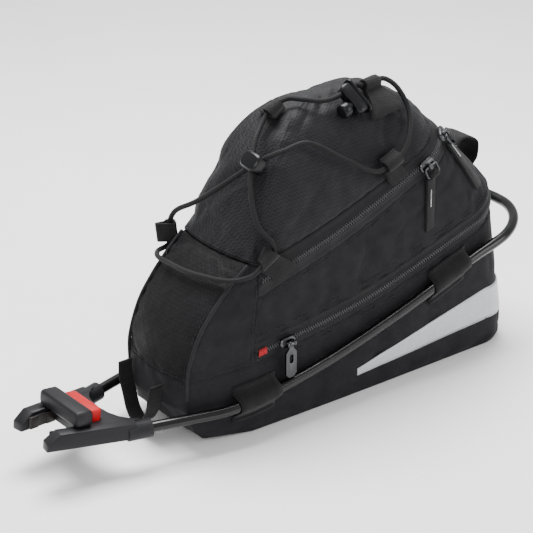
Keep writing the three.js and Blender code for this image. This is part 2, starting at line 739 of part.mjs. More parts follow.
// A block with rounded edges; its outline lies in XY and it is `depth` deep along Z.
function rounded(shape, depth, round, fineness = 2) {
  const geometry = new THREE.ExtrudeGeometry(shape, {
    depth: depth - 2 * round,
    bevelThickness: round,
    bevelSize: round,
    bevelOffset: -round,
    bevelSegments: fineness,
    curveSegments: fineness,
  });
  return geometry.translate(0, 0, round);
}

function outline(points) {
  const shape = new THREE.Shape();
  points.forEach(([x, y], i) => shape[i ? "lineTo" : "moveTo"](x, y));
  return shape;
}

function roundedRectangle(width, height, radius) {
  const shape = new THREE.Shape();
  const [a, b] = [width / 2, height / 2];
  shape.moveTo(-a + radius, -b);
  shape.lineTo(a - radius, -b);
  shape.absarc(a - radius, -b + radius, radius, -Math.PI / 2, 0);
  shape.absarc(a - radius, b - radius, radius, 0, Math.PI / 2);
  shape.absarc(-a + radius, b - radius, radius, Math.PI / 2, Math.PI);
  shape.absarc(-a + radius, -b + radius, radius, Math.PI, 1.5 * Math.PI);
  return shape;
}

function rod(from, to, radius, sides = 14) {
  const axis = to.clone().sub(from);
  const geometry = new THREE.CylinderGeometry(radius, radius, axis.length(), sides);
  const turn = new THREE.Quaternion().setFromUnitVectors(vec(0, 1, 0), axis.clone().normalize());
  return geometry.applyQuaternion(turn).translate(...from.clone().add(to).multiplyScalar(0.5));
}

const PRONG_END_HALF = SOCKET_HALF - 4;
const PRONG_END = PRONG_REACH - 12;
const prongSplay = Math.atan2(PRONG_END_HALF - PRONG_TIP_HALF, PRONG_END);

// The prong's side view, from its tip to the socket, with the tip's slanted top.
function prong(side) {
  const length = PRONG_END / Math.cos(prongSplay);
  const shape = outline([
    [0, -TOP], [length, -TOP], [length, TOP], [PRONG_NOSE, TOP], [0, TOP - PRONG_NOSE_DROP],
  ]);
  const block = rounded(shape, PRONG_WIDTH, 1.8).translate(0, 0, -PRONG_WIDTH / 2);
  block.rotateX(Math.PI / 2);
  block.rotateZ(side * prongSplay);
  return block.translate(-PRONG_REACH, side * PRONG_TIP_HALF, 0).applyMatrix4(adapterFrame);
}

function web() {
  const inner = SOCKET_HALF - 3;
  const shape = new THREE.Shape();
  shape.moveTo(-WEB_FRONT, -WEB_FRONT_HALF);
  shape.lineTo(-5, -inner);
  shape.quadraticCurveTo(-WEB_REAR, -inner + 8, -WEB_REAR, 0);
  shape.quadraticCurveTo(-WEB_REAR, inner - 8, -5, inner);
  shape.lineTo(-WEB_FRONT, WEB_FRONT_HALF);
  const plate = new THREE.ExtrudeGeometry(shape, {
    depth: WEB_THICKNESS,
    bevelEnabled: false,
    curveSegments: 4,
  });
  return plate.translate(0, 0, TOP - WEB_THICKNESS).applyMatrix4(adapterFrame);
}

function buttonBlock(margin, drop) {
  const block = rounded(
    roundedRectangle(BUTTON_DEPTH + 2 * margin, BUTTON_LENGTH + 2 * margin, 3),
    BUTTON_HEIGHT + BUTTON_SINK + drop + margin,
    margin ? 0.01 : 1.4,
  );
  return block.translate(-BUTTON_AT, 0, TOP - BUTTON_SINK - drop).applyMatrix4(adapterFrame);
}

function adapterBody() {
  const bores = [-1, 1].map((side) => {
    const mouth = railAt(0, side).addScaledVector(legDirection(side), 2);
    const end = railAt(0, side).addScaledVector(legDirection(side), -SOCKET_DEPTH);
    return rod(end, mouth, ROD_RADIUS + SEAM_GAP);
  });
  const sockets = [-1, 1].map((side) => {
    const end = railAt(0, side).addScaledVector(legDirection(side), -SOCKET_DEPTH - 4);
    return rod(end, railAt(0, side), SOCKET_RADIUS);
  });
  const body = joined(prong(-1), prong(1), web(), ...sockets);
  return cut(body, ...bores, buttonBlock(SEAM_GAP + 0.1, BUTTON_TRAVEL + 0.5));
}

add("adapter_body", adapterBody(), PLASTIC);
add("release_button", buttonBlock(0, 0), RED);

function bridgeBar() {
  const bar = rounded(roundedRectangle(BRIDGE_LENGTH, BRIDGE_HEIGHT, 4), BRIDGE_DEPTH, 2.5);
  bar.rotateX(Math.PI / 2).rotateZ(Math.PI / 2);
  const centre = TOP + SEAM_GAP + BRIDGE_HEIGHT / 2;
  return bar.translate(-BRIDGE_AT - BRIDGE_DEPTH / 2, 0, centre).applyMatrix4(adapterFrame);
}

add("bridge_bar", bridgeBar(), PLASTIC);

// Inner pads: the stepped faces that grip the seatpost bracket
function innerPad(side) {
  const inner = -PRONG_WIDTH / 2 - SEAM_GAP;
  const step = PAD_LENGTH / 3;
  const shape = outline([
    [0, 0], [PAD_LENGTH, 0], [PAD_LENGTH, -PAD_THICKNESS], [2 * step, -PAD_THICKNESS],
    [2 * step, 0.8 - PAD_THICKNESS], [step, 0.8 - PAD_THICKNESS], [step, -PAD_THICKNESS],
    [1, -PAD_THICKNESS],
  ]);
  const pad = new THREE.ExtrudeGeometry(shape, { depth: PAD_HEIGHT, bevelEnabled: false });
  pad.translate(PAD_SETBACK, inner, -PAD_HEIGHT / 2 - 0.6);
  if (side < 0) pad.scale(1, -1, 1);
  const faced = side < 0 ? fromSolid(toSolid(flipped(pad))) : pad;
  faced.rotateZ(side * prongSplay);
  return faced.translate(-PRONG_REACH, side * PRONG_TIP_HALF, 0).applyMatrix4(adapterFrame);
}

function flipped(geometry) {
  const bare = geometry.index ? geometry.toNonIndexed() : geometry.clone();
  const position = bare.attributes.position;
  for (let i = 0; i < position.count; i += 3)
    for (const key of ["X", "Y", "Z"]) {
      const a = position[`get${key}`](i + 1);
      position[`set${key}`](i + 1, position[`get${key}`](i + 2));
      position[`set${key}`](i + 2, a);
    }
  return bare;
}

for (const [name, side] of [["near", -1], ["far", 1]]) {
  add(`inner_pad_${name}`, innerPad(side), PAD);
}

// Webbing
// A band whose middle plane runs through a few lines with as many points each.
function band(lines, thickness = WEBBING) {
  const sheet = lines.map((line, k) =>
    line.map((point, i) => {
      const along = line[Math.min(line.length - 1, i + 1)].clone().sub(line[Math.max(0, i - 1)]);
      const across = lines[Math.min(lines.length - 1, k + 1)][i].clone();
      across.sub(lines[Math.max(0, k - 1)][i]);
      return { point, normal: along.cross(across).normalize() };
    }),
  );
  return wallOf(sheet, { thickness, lift: thickness / 2 });
}

// The line of a rail loop at one of its edges: down the bag's side, out round the rod
// and back to the side below it.
function loopLine(distance, side) {
  const rodCentre = railAt(distance, side);
  const wall = (height) => {
    const { point, normal } = wallAt(distance - SOCKET_SETBACK, height);
    point.addScaledVector(normal, 2 * SEAM_GAP + WEBBING / 2);
    return vec(point.x, Math.abs(point.y) * side, point.z);
  };
  const reach = ROD_RADIUS + SEAM_GAP + WEBBING / 2;
  const round = steps(60, -60, 6).map((degrees) => {
    const out = side * reach * Math.cos(radians(degrees));
    return rodCentre.clone().add(vec(0, out, reach * Math.sin(radians(degrees))));
  });
  const heights = [LOOP_ABOVE + 4, LOOP_ABOVE, -LOOP_BELOW, -LOOP_BELOW - 4];
  const [top, upper, lower, foot] = heights.map((h) => wall(rodCentre.z + h));
  return [top, upper, ...round, lower, foot];
}

for (const [place, distance] of [["front", FRONT_LOOP_AT], ["rear", REAR_LOOP_AT]])
  for (const [name, side] of [["near", -1], ["far", 1]]) {
    const shares = [-0.5, -0.17, 0.17, 0.5];
    const lines = shares.map((share) => loopLine(distance + share * RAIL_LOOP_WIDTH, side));
    if (side > 0) lines.reverse();
    add(`rail_loop_${place}_${name}`, band(lines), STRAP);
  }

// Light loop: a hoop of webbing on the rear panel
function lightLoop() {
  const wall = (height, out) => {
    const { point, normal } = bodyAt(levelAt(height, REAR_COLUMN), REAR_COLUMN);
    return point.addScaledVector(normal, out);
  };
  const seat = SEAM_GAP + WEBBING / 2;
  const line = [
    wall(LIGHT_LOOP_TOP + 5, seat),
    wall(LIGHT_LOOP_TOP, seat),
    wall(LIGHT_LOOP_TOP - 2, LIGHT_LOOP_STANDOFF * 0.55),
    wall(LIGHT_LOOP_TOP - 7, LIGHT_LOOP_STANDOFF * 0.9),
    wall(LIGHT_LOOP_TOP - 13, LIGHT_LOOP_STANDOFF),
    wall(LIGHT_LOOP_FOOT + 5, LIGHT_LOOP_STANDOFF * 0.85),
    wall(LIGHT_LOOP_FOOT + 1, LIGHT_LOOP_STANDOFF * 0.45),
    wall(LIGHT_LOOP_FOOT, seat),
    wall(LIGHT_LOOP_FOOT - 4, seat),
  ];
  const edge = (y) => line.map((p) => vec(p.x, y, p.z));
  return band([LIGHT_LOOP_WIDTH / 2, 0, -LIGHT_LOOP_WIDTH / 2].map(edge));
}

add("light_loop", lightLoop(), STRAP);

// Front strap: a loop of webbing that hangs under the front panel
function frontStrap() {
  const face = (y, z) => {
    const column = (y / (BODY_ROWS.lowerSeam.frontHalf * BAG_HALF)) * -PIPING_COLUMN;
    return bodyAt(levelAt(z, 0), column).point.x - 3 * SEAM_GAP;
  };
  const line = STRAP_LINE.map(({ y, z }) => vec(face(y, Math.max(z, STRAP_FOOT)), y, z));
  const front = line.map((p) => p.clone().add(vec(-STRAP_WIDTH, 0, 0)));
  return band([line, front]);
}

add("front_strap", frontStrap(), STRAP);

// A closed geometry with its faces turned out.
function outward(geometry) {
  return toSolid(geometry).volume() < 0 ? flipped(geometry) : geometry;
}

// Cord tabs: webbing folded over the cord, its two ends sewn down together.
// `surface(a, b)` gives the fabric's point and normal at `a` away from the sewn end and
// `b` along the cord, with the cord's centre over (0, 0).
const cordSeat = (seat) => seat + WEBBING + TAB_CLEARANCE + CORD_RADIUS;

function foldedTab(surface, { width, tail, reach, seat = SEAM_GAP }) {
  const lower = seat + WEBBING / 2;
  const fold = WEBBING / 2 + SEAM_GAP / 2;
  const around = CORD_RADIUS + TAB_CLEARANCE + WEBBING / 2;
  const arc = (centreA, centreOut, radius, from, to, count) =>
    steps(from, to, count).map((degrees) => [
      centreA + radius * Math.cos(radians(degrees)),
      centreOut + radius * Math.sin(radians(degrees)),
    ]);
  const sewn = steps(-tail, 0, Math.ceil(tail / 4));
  const profile = [
    ...sewn.map((away) => [away, lower]),
    ...arc(reach, lower + fold, fold, -90, 90, 4),
    ...arc(0, cordSeat(seat), around, 0, 180, 5),
    [-around - 0.9, lower + 2 * fold + 0.2],
    ...sewn.filter((away) => away < -around - 2).reverse().map((away) => [away, lower + 2 * fold]),
  ];
  const lines = [-0.5, 0.5].map((share) =>
    profile.map(([away, out]) => {
      const { point, normal } = surface(away, share * width);
      return point.clone().addScaledVector(normal, out);
    }),
  );
  return outward(band(lines));
}

// The outside of the bag's side at a height, on the body or on the lid above it.
function sideAt(height, column) {
  if (height <= girthPoint(bodyRow(6), column).z) return bodyAt(levelAt(height, column), column);
  let low = 0;
  let high = 0.6;
  for (let i = 0; i < 24; i += 1) {
    const middle = (low + high) / 2;
    if (lidPoint(middle, column).z < height) low = middle;
    else high = middle;
  }
  return lidAt((low + high) / 2, column);
}

// The fabric under a tab on the side, its cord `above` the lid's edge and rising to the
// rear at `turn` degrees.
function sideSurface(column, above, turn) {
  const middle = girthPoint(bodyRow(6), column);
  const perColumn = girthPoint(bodyRow(6), column + 0.5).distanceTo(girthPoint(bodyRow(6), column - 0.5));
  const [cosine, sine] = [Math.cos(radians(turn)), Math.sin(radians(turn))];
  return (away, along) =>
    sideAt(
      middle.z + above + away * cosine + along * sine,
      column + (along * cosine - away * sine) / perColumn,
    );
}

// The fabric under a tab on top of the lid: its cord runs round the dome, or with
// `across` up the dome. `slant` turns the tab, in columns for each millimetre away.
function topSurface(rise, column, across, slant = 0) {
  const perRise = onLid(rise + 0.05, column).point.distanceTo(onLid(rise - 0.05, column).point) / 0.1;
  const perColumn = onLid(rise, column + 0.5).point.distanceTo(onLid(rise, column - 0.5).point);
  return (away, along) =>
    across
      ? onLid(rise + along / perRise, column + away / perColumn)
      : onLid(rise + away / perRise, column + along / perColumn + slant * away);
}

// A tab sewn in the upright corner seam stands out from it like a fin.
function finSurface(root, direction, up) {
  const normal = direction.clone().cross(up).normalize();
  return (away, along) => ({
    point: root.clone().addScaledVector(direction, away).addScaledVector(up, along),
    normal,
  });
}

const SIDE_TABS = [
  { name: "tab_front_near", column: 7.05, above: 6, turn: 42, width: 13, tail: 21, reach: 4.8 },
  { name: "tab_rear_near", column: 13.5, above: 13, turn: 20, width: 16, tail: 17, reach: 4.8 },
];
for (const { name, column, above, turn, ...sizes } of SIDE_TABS) {
  const surface = sideSurface(column, above, turn);
  add(name, foldedTab(surface, { ...sizes, seat: SEAM_GAP + ZIP_LIFT }), STRAP);
}

const TOP_TABS = [
  { name: "tab_mid_far", rise: 0.67, column: 0.2, across: true, width: 11, tail: 12, reach: 4.8, seat: 1.8 },
  { name: "rear_ribbon", rise: 0.66, column: 15.35, across: false, width: 11, tail: 24, reach: 4.8,
    seat: 2.2, slant: 0.04 },
];
for (const { name, rise, column, across, slant, ...sizes } of TOP_TABS) {
  const surface = topSurface(rise, column, across, slant);
  add(name, foldedTab(surface, sizes), STRAP);
}

const FIN = { out: 8, level: 5.85, width: 15, tail: 4.3, reach: 9 };
const finCorner = bodyAt(FIN.level, -PIPING_COLUMN).point;
const finDirection = vec(-1, 1, -0.1).normalize();
const finUp = vec(-0.12, 0, 1).normalize();
const finRoot = finCorner.clone().addScaledVector(finDirection, FIN.out);
add("tab_front_far", foldedTab(finSurface(finRoot, finDirection, finUp), FIN), STRAP);

// Crossing clip: a small block with two channels, one above the other
const CLIP_LID = { rise: 0.33, column: 1.9 };
const clipSeat = onLid(CLIP_LID.rise, CLIP_LID.column);
const CLIP_STRANDS = [
  { rise: SEAM_GAP + CLIP_WALL + CORD_CLEARANCE + CORD_RADIUS, along: vec(0.605, -0.638, 0.475) },
  { rise: SEAM_GAP + CLIP_WALL + 3 * CORD_CLEARANCE + 3 * CORD_RADIUS, along: vec(0.49, 0.46, 0.74) },
];

// A frame on a surface: X along a heading, Z out.
function frameOn(point, out, heading) {
  const x = heading.clone().addScaledVector(out, -heading.dot(out)).normalize();
  const y = out.clone().cross(x);
  return new THREE.Matrix4().makeBasis(x, y, out).setPosition(point);
}

function crossingClip() {
  const middle = CLIP_STRANDS[0].along.clone().add(CLIP_STRANDS[1].along);
  const frame = frameOn(clipSeat.point, clipSeat.normal, middle);
  const height = CLIP_STRANDS[1].rise + CORD_RADIUS + CORD_CLEARANCE + CLIP_WALL - SEAM_GAP;
  const block = rounded(roundedRectangle(CLIP_WIDTH, CLIP_LENGTH, 4), height, 1.4, 1);
  block.translate(0, 0, 2 * SEAM_GAP).applyMatrix4(frame);
  const channels = CLIP_STRANDS.map(({ rise, along }) => {
    const direction = along.clone().addScaledVector(clipSeat.normal, -along.dot(clipSeat.normal)).normalize();
    const centre = clipSeat.point.clone().addScaledVector(clipSeat.normal, rise);
    const ends = [-CLIP_LENGTH, CLIP_LENGTH].map((d) => centre.clone().addScaledVector(direction, d));
    return rod(ends[0], ends[1], CORD_RADIUS + CORD_CLEARANCE, 10);
  });
  return cut(block, ...channels);
}

add("crossing_clip", crossingClip(), PLASTIC);

// Cord lock: a flanged body with a sprung push button
const LOCK_LID = { rise: 0.54, column: 12.5 };

function lockFrame() {
  const { point, normal } = onLid(LOCK_LID.rise, LOCK_LID.column);
  const forward = vec(-1, 0, 0).applyAxisAngle(normal, radians(LOCK_TURN));
  return frameOn(point.addScaledVector(normal, LOCK_SEAT), normal, forward);
}

const lockMatrix = lockFrame();
const lockMiddle = LOCK_HEIGHT / 2;
const lockRod = (from, to, down, radius) =>
  rod(vec(from, down, lockMiddle), vec(to, down, lockMiddle), radius, 12);

function lockBody() {
  const block = rounded(roundedRectangle(LOCK_DEPTH, LOCK_LENGTH, 4), LOCK_HEIGHT, 2);
  const flange = rounded(roundedRectangle(FLANGE_LENGTH, FLANGE_HEIGHT, 4), FLANGE_THICKNESS, 0.7);
  flange.applyMatrix4(new THREE.Matrix4().makeBasis(vec(0, 1, 0), vec(0, 0, 1), vec(1, 0, 0)));
  flange.translate(-LOCK_DEPTH / 2 - FLANGE_THICKNESS / 2, 0, lockMiddle);
  const back = -LOCK_DEPTH;
  const channel = lockRod(back, LOCK_DEPTH, -CHANNEL_OFFSET, CORD_RADIUS + CORD_CLEARANCE);
  const front = LOCK_DEPTH / 2;
  const bore = lockRod(
    front - NECK_DEPTH - KNOB_TRAVEL - 0.5, front + 2, KNOB_OFFSET, NECK_RADIUS + SEAM_GAP,
  );
  return cut(joined(block, flange), channel, bore).applyMatrix4(lockMatrix);
}

add("cord_lock_body", lockBody(), PLASTIC);

function lockKnob() {
  const front = LOCK_DEPTH / 2;
  const start = front + KNOB_TRAVEL + SEAM_GAP;
  const end = start + KNOB_LENGTH;
  const profile = [
    [0, front - NECK_DEPTH], [NECK_RADIUS, front - NECK_DEPTH], [NECK_RADIUS, start],
    [KNOB_RADIUS - 0.6, start], [KNOB_RADIUS, start + 0.6], [KNOB_RADIUS, end - 1.4],
    [KNOB_RADIUS - 0.5, end - 0.5], [KNOB_RADIUS - 1.6, end], [0, end],
  ].map(([r, x]) => new THREE.Vector2(r, x));
  const knob = new THREE.LatheGeometry(profile, 14).rotateZ(-Math.PI / 2);
  return outward(knob.translate(0, KNOB_OFFSET, lockMiddle).applyMatrix4(lockMatrix));
}

add("cord_lock_button", lockKnob(), PLASTIC);

// Zip sliders, the lower one's metal pull and the upper ones' rings and puller tapes
// A frame on a zip's coil: X along the zip to the rear, Y up the side, Z out.
function zipFrame(level, column) {
  const { point, normal } = bodyAt(level, column);
  const along = bodyAt(level, column + 0.3).point.sub(bodyAt(level, column - 0.3).point);
  return frameOn(point.addScaledVector(normal, ZIP_LIFT + SEAM_GAP), normal, along);
}

const sliderBlock = () =>
  rounded(roundedRectangle(SLIDER_LENGTH, SLIDER_WIDTH, 3), SLIDER_HEIGHT, 0.9, 1);

const lowerFrame = zipFrame(LOWER_COIL, columnAt(LOWER_SLIDER_AT, LOWER_COIL));
// The ears and the pin lie level, whatever the zip's slope.
const pinOut = vec(0, 0, 1).transformDirection(lowerFrame);
const pinLine = vec(0, 0, 1).cross(pinOut);
const hingeFrame = frameOn(vec(0, 0, 0).applyMatrix4(lowerFrame), pinOut, pinLine);
const PIN_HEIGHT = SLIDER_HEIGHT + PULL_BARREL_RADIUS + SEAM_GAP;
const EAR_AT = PULL_BARREL_LENGTH / 2 + SEAM_GAP;

function lowerSlider() {
  const ears = [-1, 1].map((side) => {
    const ear = roundedRectangle(2 * PULL_BARREL_RADIUS, PULL_BARREL_RADIUS + PIN_HEIGHT, 1.8);
    const sizes = { depth: EAR_THICKNESS, bevelEnabled: false, curveSegments: 4 };
    const block = new THREE.ExtrudeGeometry(ear, sizes);
    block.applyMatrix4(new THREE.Matrix4().makeBasis(vec(0, 1, 0), vec(0, 0, 1), vec(1, 0, 0)));
    const x = side > 0 ? EAR_AT : -EAR_AT - EAR_THICKNESS;
    return block.translate(x, 0, (PULL_BARREL_RADIUS + PIN_HEIGHT) / 2);
  });
  const reach = EAR_AT + EAR_THICKNESS / 2;
  const pin = rod(vec(-reach, 0, PIN_HEIGHT), vec(reach, 0, PIN_HEIGHT), PULL_PIN_RADIUS, 10);
  const hinge = joined(...ears, pin).applyMatrix4(hingeFrame);
  return joined(sliderBlock().applyMatrix4(lowerFrame), hinge);
}

add("lower_zip_slider", lowerSlider(), METAL);

// The pull hangs straight down from the pin.
const pinCentre = vec(0, 0, PIN_HEIGHT).applyMatrix4(hingeFrame);
function lowerPull() {
  const half = PULL_WIDTH / 2;
  const shape = outline([
    [-PULL_BARREL_LENGTH / 2, 0], [-PULL_BARREL_LENGTH / 2, -3.5], [-half, -7], [-half, 3 - PULL_LENGTH],
    [2.5 - half, -PULL_LENGTH], [half - 2.5, -PULL_LENGTH], [half, 3 - PULL_LENGTH], [half, -7],
    [PULL_BARREL_LENGTH / 2, -3.5], [PULL_BARREL_LENGTH / 2, 0],
  ]);
  const slot = roundedRectangle(3.4, 7, 1.6);
  const hole = slot.getPoints(3).map((p) => p.clone().add(new THREE.Vector2(0, SLOT_DROP)));
  shape.holes.push(new THREE.Path(hole));
  const plate = new THREE.ExtrudeGeometry(shape, { depth: PULL_THICKNESS, bevelEnabled: false });
  plate.translate(0, 0, -PULL_THICKNESS / 2).rotateX(Math.PI / 2);
  const reach = PULL_BARREL_LENGTH / 2;
  const barrel = rod(vec(-reach, 0, 0), vec(reach, 0, 0), PULL_BARREL_RADIUS, 14);
  const bore = rod(vec(-reach - 1, 0, 0), vec(reach + 1, 0, 0), PULL_PIN_RADIUS + SEAM_GAP, 14);
  const pull = cut(joined(plate, barrel), bore);
  const along = pinLine.clone().normalize();
  const frame = new THREE.Matrix4().makeBasis(along, vec(0, 0, 1).cross(along), vec(0, 0, 1));
  return pull.applyMatrix4(frame).translate(...pinCentre);
}

add("lower_zip_pull", lowerPull(), METAL);

function upperSlider(frame) {
  const ear = rounded(roundedRectangle(3, 5, 1.2), SLIDER_HEIGHT + 3.6, 0.4, 1).translate(0, -1, 0);
  const hole = rod(vec(-3, -1, SLIDER_HEIGHT + 1.6), vec(3, -1, SLIDER_HEIGHT + 1.6), 1.45, 8);
  return cut(joined(sliderBlock(), ear), hole).applyMatrix4(frame);
}

function flatRing(frame) {
  const outer = roundedRectangle(RING_WIDTH, RING_LENGTH, 2);
  const inner = roundedRectangle(RING_WIDTH - 2 * RING_WIRE, RING_LENGTH - 2 * RING_WIRE, 0.7);
  outer.holes.push(new THREE.Path(inner.getPoints(2)));
  const ring = new THREE.ExtrudeGeometry(outer, { depth: RING_WIRE, bevelEnabled: false, curveSegments: 2 });
  const top = -1 + RING_WIRE / 2 - RING_LENGTH / 2;
  return ring.translate(0, top, SLIDER_HEIGHT + 1.6 - RING_WIRE / 2).applyMatrix4(frame);
}

// The tape is folded round the ring's lower bar and hangs on down the fabric.
function pullerTape(frame, column, length, drift) {
  const bar = vec(0, -1 + RING_WIRE - RING_LENGTH, SLIDER_HEIGHT + 1.6);
  const inner = RING_WIRE / 2 + SEAM_GAP + 0.7;
  const layer = TAPE_THICKNESS / 2;
  const half = layer / 2;
  const beside = (step) => bodyAt(UPPER_COIL, column + step).point;
  const perColumn = beside(0.5).distanceTo(beside(-0.5));
  const lines = [-0.5, 0, 0.5].map((share) => {
    const across = share * TAPE_WIDTH;
    const loop = steps(-50, 230, 8).map((degrees) => {
      const [aside, out] = [Math.sin(radians(degrees)), Math.cos(radians(degrees))];
      return vec(across, bar.y + (inner + half) * aside, bar.z + (inner + half) * out).applyMatrix4(frame);
    });
    const c = column + across / perColumn;
    const foot = loop[0].z - 3;
    const down = (out, list) =>
      list.map((distance) => {
        const height = foot - distance;
        const place = drift === undefined
          ? wallAt(loop[0].x - BAG_FRONT, height)
          : sideAt(height, c + (drift * distance) / length);
        return place.point.clone().addScaledVector(place.normal, out);
      });
    const marks = steps(0, length, 5);
    const upper = SEAM_GAP + 1 + 1.6 * layer;
    const lower = SEAM_GAP + 1 + 0.5 * layer;
    return [...down(lower, [...marks].reverse()), ...loop.reverse(), ...down(upper, marks)];
  });
  return outward(band(lines, layer * 0.98));
}

const UPPER_PULLERS = [
  { name: "near", column: columnAt(NEAR_PULLER_AT, UPPER_COIL), length: NEAR_TAPE_LENGTH },
  { name: "far", column: FAR_PULLER_COLUMN, length: FAR_TAPE_LENGTH, drift: -1.2 },
];
for (const { name, column, length, drift } of UPPER_PULLERS) {
  const frame = zipFrame(UPPER_COIL, column);
  add(`upper_zip_slider_${name}`, upperSlider(frame), METAL);
  add(`pull_ring_${name}`, flatRing(frame), METAL);
  add(`puller_tape_${name}`, pullerTape(frame, column, length, drift), STRAP);
}

// Bungee cord: from the ribbon through the lock, over the lid and round the front, and
// back over the lid to the rear tab and the ribbon. Its points are chosen by hand.
const CORD_ROUTE = [
  [23.5, -18.4, 237.1], [16.2, -19.5, 237.1], [10.6, -18, 238.3], [-0.1, -19.2, 236.4],
  [-10.7, -20.8, 234.2], [-22, -19.5, 233.6], [-33, -12, 235], [-40.5, -3.5, 235],
  [-47, -0.9, 232.7], [-52.6, -1, 230.2], [-57.6, -1.2, 227], [-66.5, -4.5, 219.8],
  [-75, -9.8, 214.4], [-80.1, -13.9, 208.4], [-84.6, -18, 201.8], [-89.1, -22.2, 195.2],
  [-95, -31, 178.5], [-96, -41, 161], [-89.7, -46.5, 151.5], [-87.6, -47.1, 142.8],
  [-93.2, -47, 138.5], [-98.9, -46.8, 133.8], [-104.8, -47, 130.3], [-113.5, -45.7, 128.6],
  [-122, -39.5, 127.3], [-129, -18, 125], [-132, 2, 123.5], [-131.5, 20, 122.5],
  [-130.5, 35, 121.8], [-122, 46.8, 120], [-111, 49, 121.5], [-109.2, 48.3, 129],
  [-110.3, 48.3, 138.5], [-109.5, 42.5, 149.5], [-105, 24.5, 161.5], [-99.5, 8, 174.5],
  [-91, -5, 187], [-85.4, -11.7, 193.9], [-80.9, -17.6, 199.1], [-76.5, -23.5, 204.2],
  [-67, -32, 210], [-50.2, -36.5, 213.4], [-26.2, -43, 199.4], [-2, -47.3, 184.4],
  [9, -47.7, 180.3], [15.6, -47.4, 181.2], [22.4, -47.3, 184], [29.1, -47.2, 186.9],
  [39.5, -44.3, 196.5], [48.5, -34.5, 214], [44.5, -24.5, 231], [38, -18.5, 237],
  [31, -17.2, 237.4], [25.5, -18, 237.1],
].map((p) => vec(...p));
const CORD_STEPS = 72;

add("bungee_cord", tube(CORD_ROUTE, CORD_RADIUS, 8, CORD_STEPS), CORD);

export default bag;
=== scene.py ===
import functools
import math

import bmesh
import bpy
import numpy as np
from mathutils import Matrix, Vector, bvhtree, kdtree, noise


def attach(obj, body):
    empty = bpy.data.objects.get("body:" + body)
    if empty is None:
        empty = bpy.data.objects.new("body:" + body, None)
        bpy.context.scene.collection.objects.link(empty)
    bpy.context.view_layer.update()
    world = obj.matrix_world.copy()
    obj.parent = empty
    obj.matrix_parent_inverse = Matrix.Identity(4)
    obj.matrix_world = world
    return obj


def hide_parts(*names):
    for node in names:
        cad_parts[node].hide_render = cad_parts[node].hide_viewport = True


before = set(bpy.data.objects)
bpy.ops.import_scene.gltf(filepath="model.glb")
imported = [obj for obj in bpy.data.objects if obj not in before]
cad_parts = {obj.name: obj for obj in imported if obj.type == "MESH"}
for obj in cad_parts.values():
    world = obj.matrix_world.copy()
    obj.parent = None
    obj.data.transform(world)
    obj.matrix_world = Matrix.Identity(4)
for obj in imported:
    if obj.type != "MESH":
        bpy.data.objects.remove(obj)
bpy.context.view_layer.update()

MM = 0.001


def placed(name, data):
    """A new object in the scene."""
    obj = bpy.data.objects.new(name, data)
    bpy.context.scene.collection.objects.link(obj)
    return obj


# Camera: seen from the left front, a little above the bag
AZIMUTH = math.radians(-38)
ELEVATION = math.radians(25)
TARGET = Vector((-0.0575, 0, 0.1056))
DISTANCE = 1.5
TO_CAMERA = Vector((
    math.sin(AZIMUTH) * math.cos(ELEVATION),
    -math.cos(AZIMUTH) * math.cos(ELEVATION),
    math.sin(ELEVATION),
))
camera_data = bpy.data.cameras.new("photo_camera")
camera_data.lens = 136.8
camera_data.sensor_width = 36
camera_data.clip_start = 0.05
camera_data.clip_end = 20
camera = placed("photo_camera", camera_data)
camera.location = TARGET + DISTANCE * TO_CAMERA
camera.rotation_euler = (math.pi / 2 - ELEVATION, 0, AZIMUTH)
bpy.context.scene.camera = camera


# Meshes
def set_uvs(mesh, uvs):
    """uvs is one pair in metres for each vertex."""
    layer = mesh.uv_layers[0] if mesh.uv_layers else mesh.uv_layers.new(name="cloth")
    corners = np.zeros(len(mesh.loops), np.int32)
    mesh.loops.foreach_get("vertex_index", corners)
    layer.data.foreach_set("uv", np.asarray(uvs, np.float32)[corners].ravel())


def new_object(name, vertices, faces, uvs=None):
    """A smooth mesh in metres from points in millimetres."""
    mesh = bpy.data.meshes.new(name)
    mesh.from_pydata((np.asarray(vertices, float) * MM).tolist(), [], faces)
    if uvs is not None:
        set_uvs(mesh, uvs)
    mesh.validate()
    mesh.shade_smooth()
    return placed(name, mesh)


def outward(obj):
    """Turns the faces of a closed mesh out."""
    bm = bmesh.new()
    bm.from_mesh(obj.data)
    bmesh.ops.recalc_face_normals(bm, faces=bm.faces)
    bm.to_mesh(obj.data)
    bm.free()
    return obj


def finish_piece(obj, material, body="bag", nodes=()):
    """Gives a piece its material, body and replaced nodes."""
    obj.data.materials.clear()
    obj.data.materials.append(material)
    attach(obj, body)
    if nodes:
        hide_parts(*nodes)
    return obj


def unit(v):
    v = np.asarray(v, float)
    return v / np.maximum(np.linalg.norm(v, axis=-1, keepdims=True), 1e-12)


def catmull(points, per_span, closed=False):
    """Points on a centripetal Catmull-Rom curve through the given ones."""
    p = [np.asarray(q, float) for q in points]
    if closed:
        p = [p[-1], *p, p[0], p[1]]
    else:
        p = [2 * p[0] - p[1], *p, 2 * p[-1] - p[-2]]
    out = []
    for i in range(1, len(p) - 2):
        x0, x1, x2, x3 = p[i - 1:i + 3]
        dt = [max(1e-4, np.linalg.norm(b - a) ** 0.5) for a, b in ((x0, x1), (x1, x2), (x2, x3))]
        t1 = ((x1 - x0) / dt[0] - (x2 - x0) / (dt[0] + dt[1]) + (x2 - x1) / dt[1]) * dt[1]
        t2 = ((x2 - x1) / dt[1] - (x3 - x1) / (dt[1] + dt[2]) + (x3 - x2) / dt[2]) * dt[1]
        for k in range(per_span):
            t = k / per_span
            out.append(
                x1 + t1 * t + (-3 * x1 + 3 * x2 - 2 * t1 - t2) * t * t + (2 * x1 - 2 * x2 + t1 + t2) * t ** 3
            )
    if not closed:
        out.append(p[-2])
    return np.array(out)


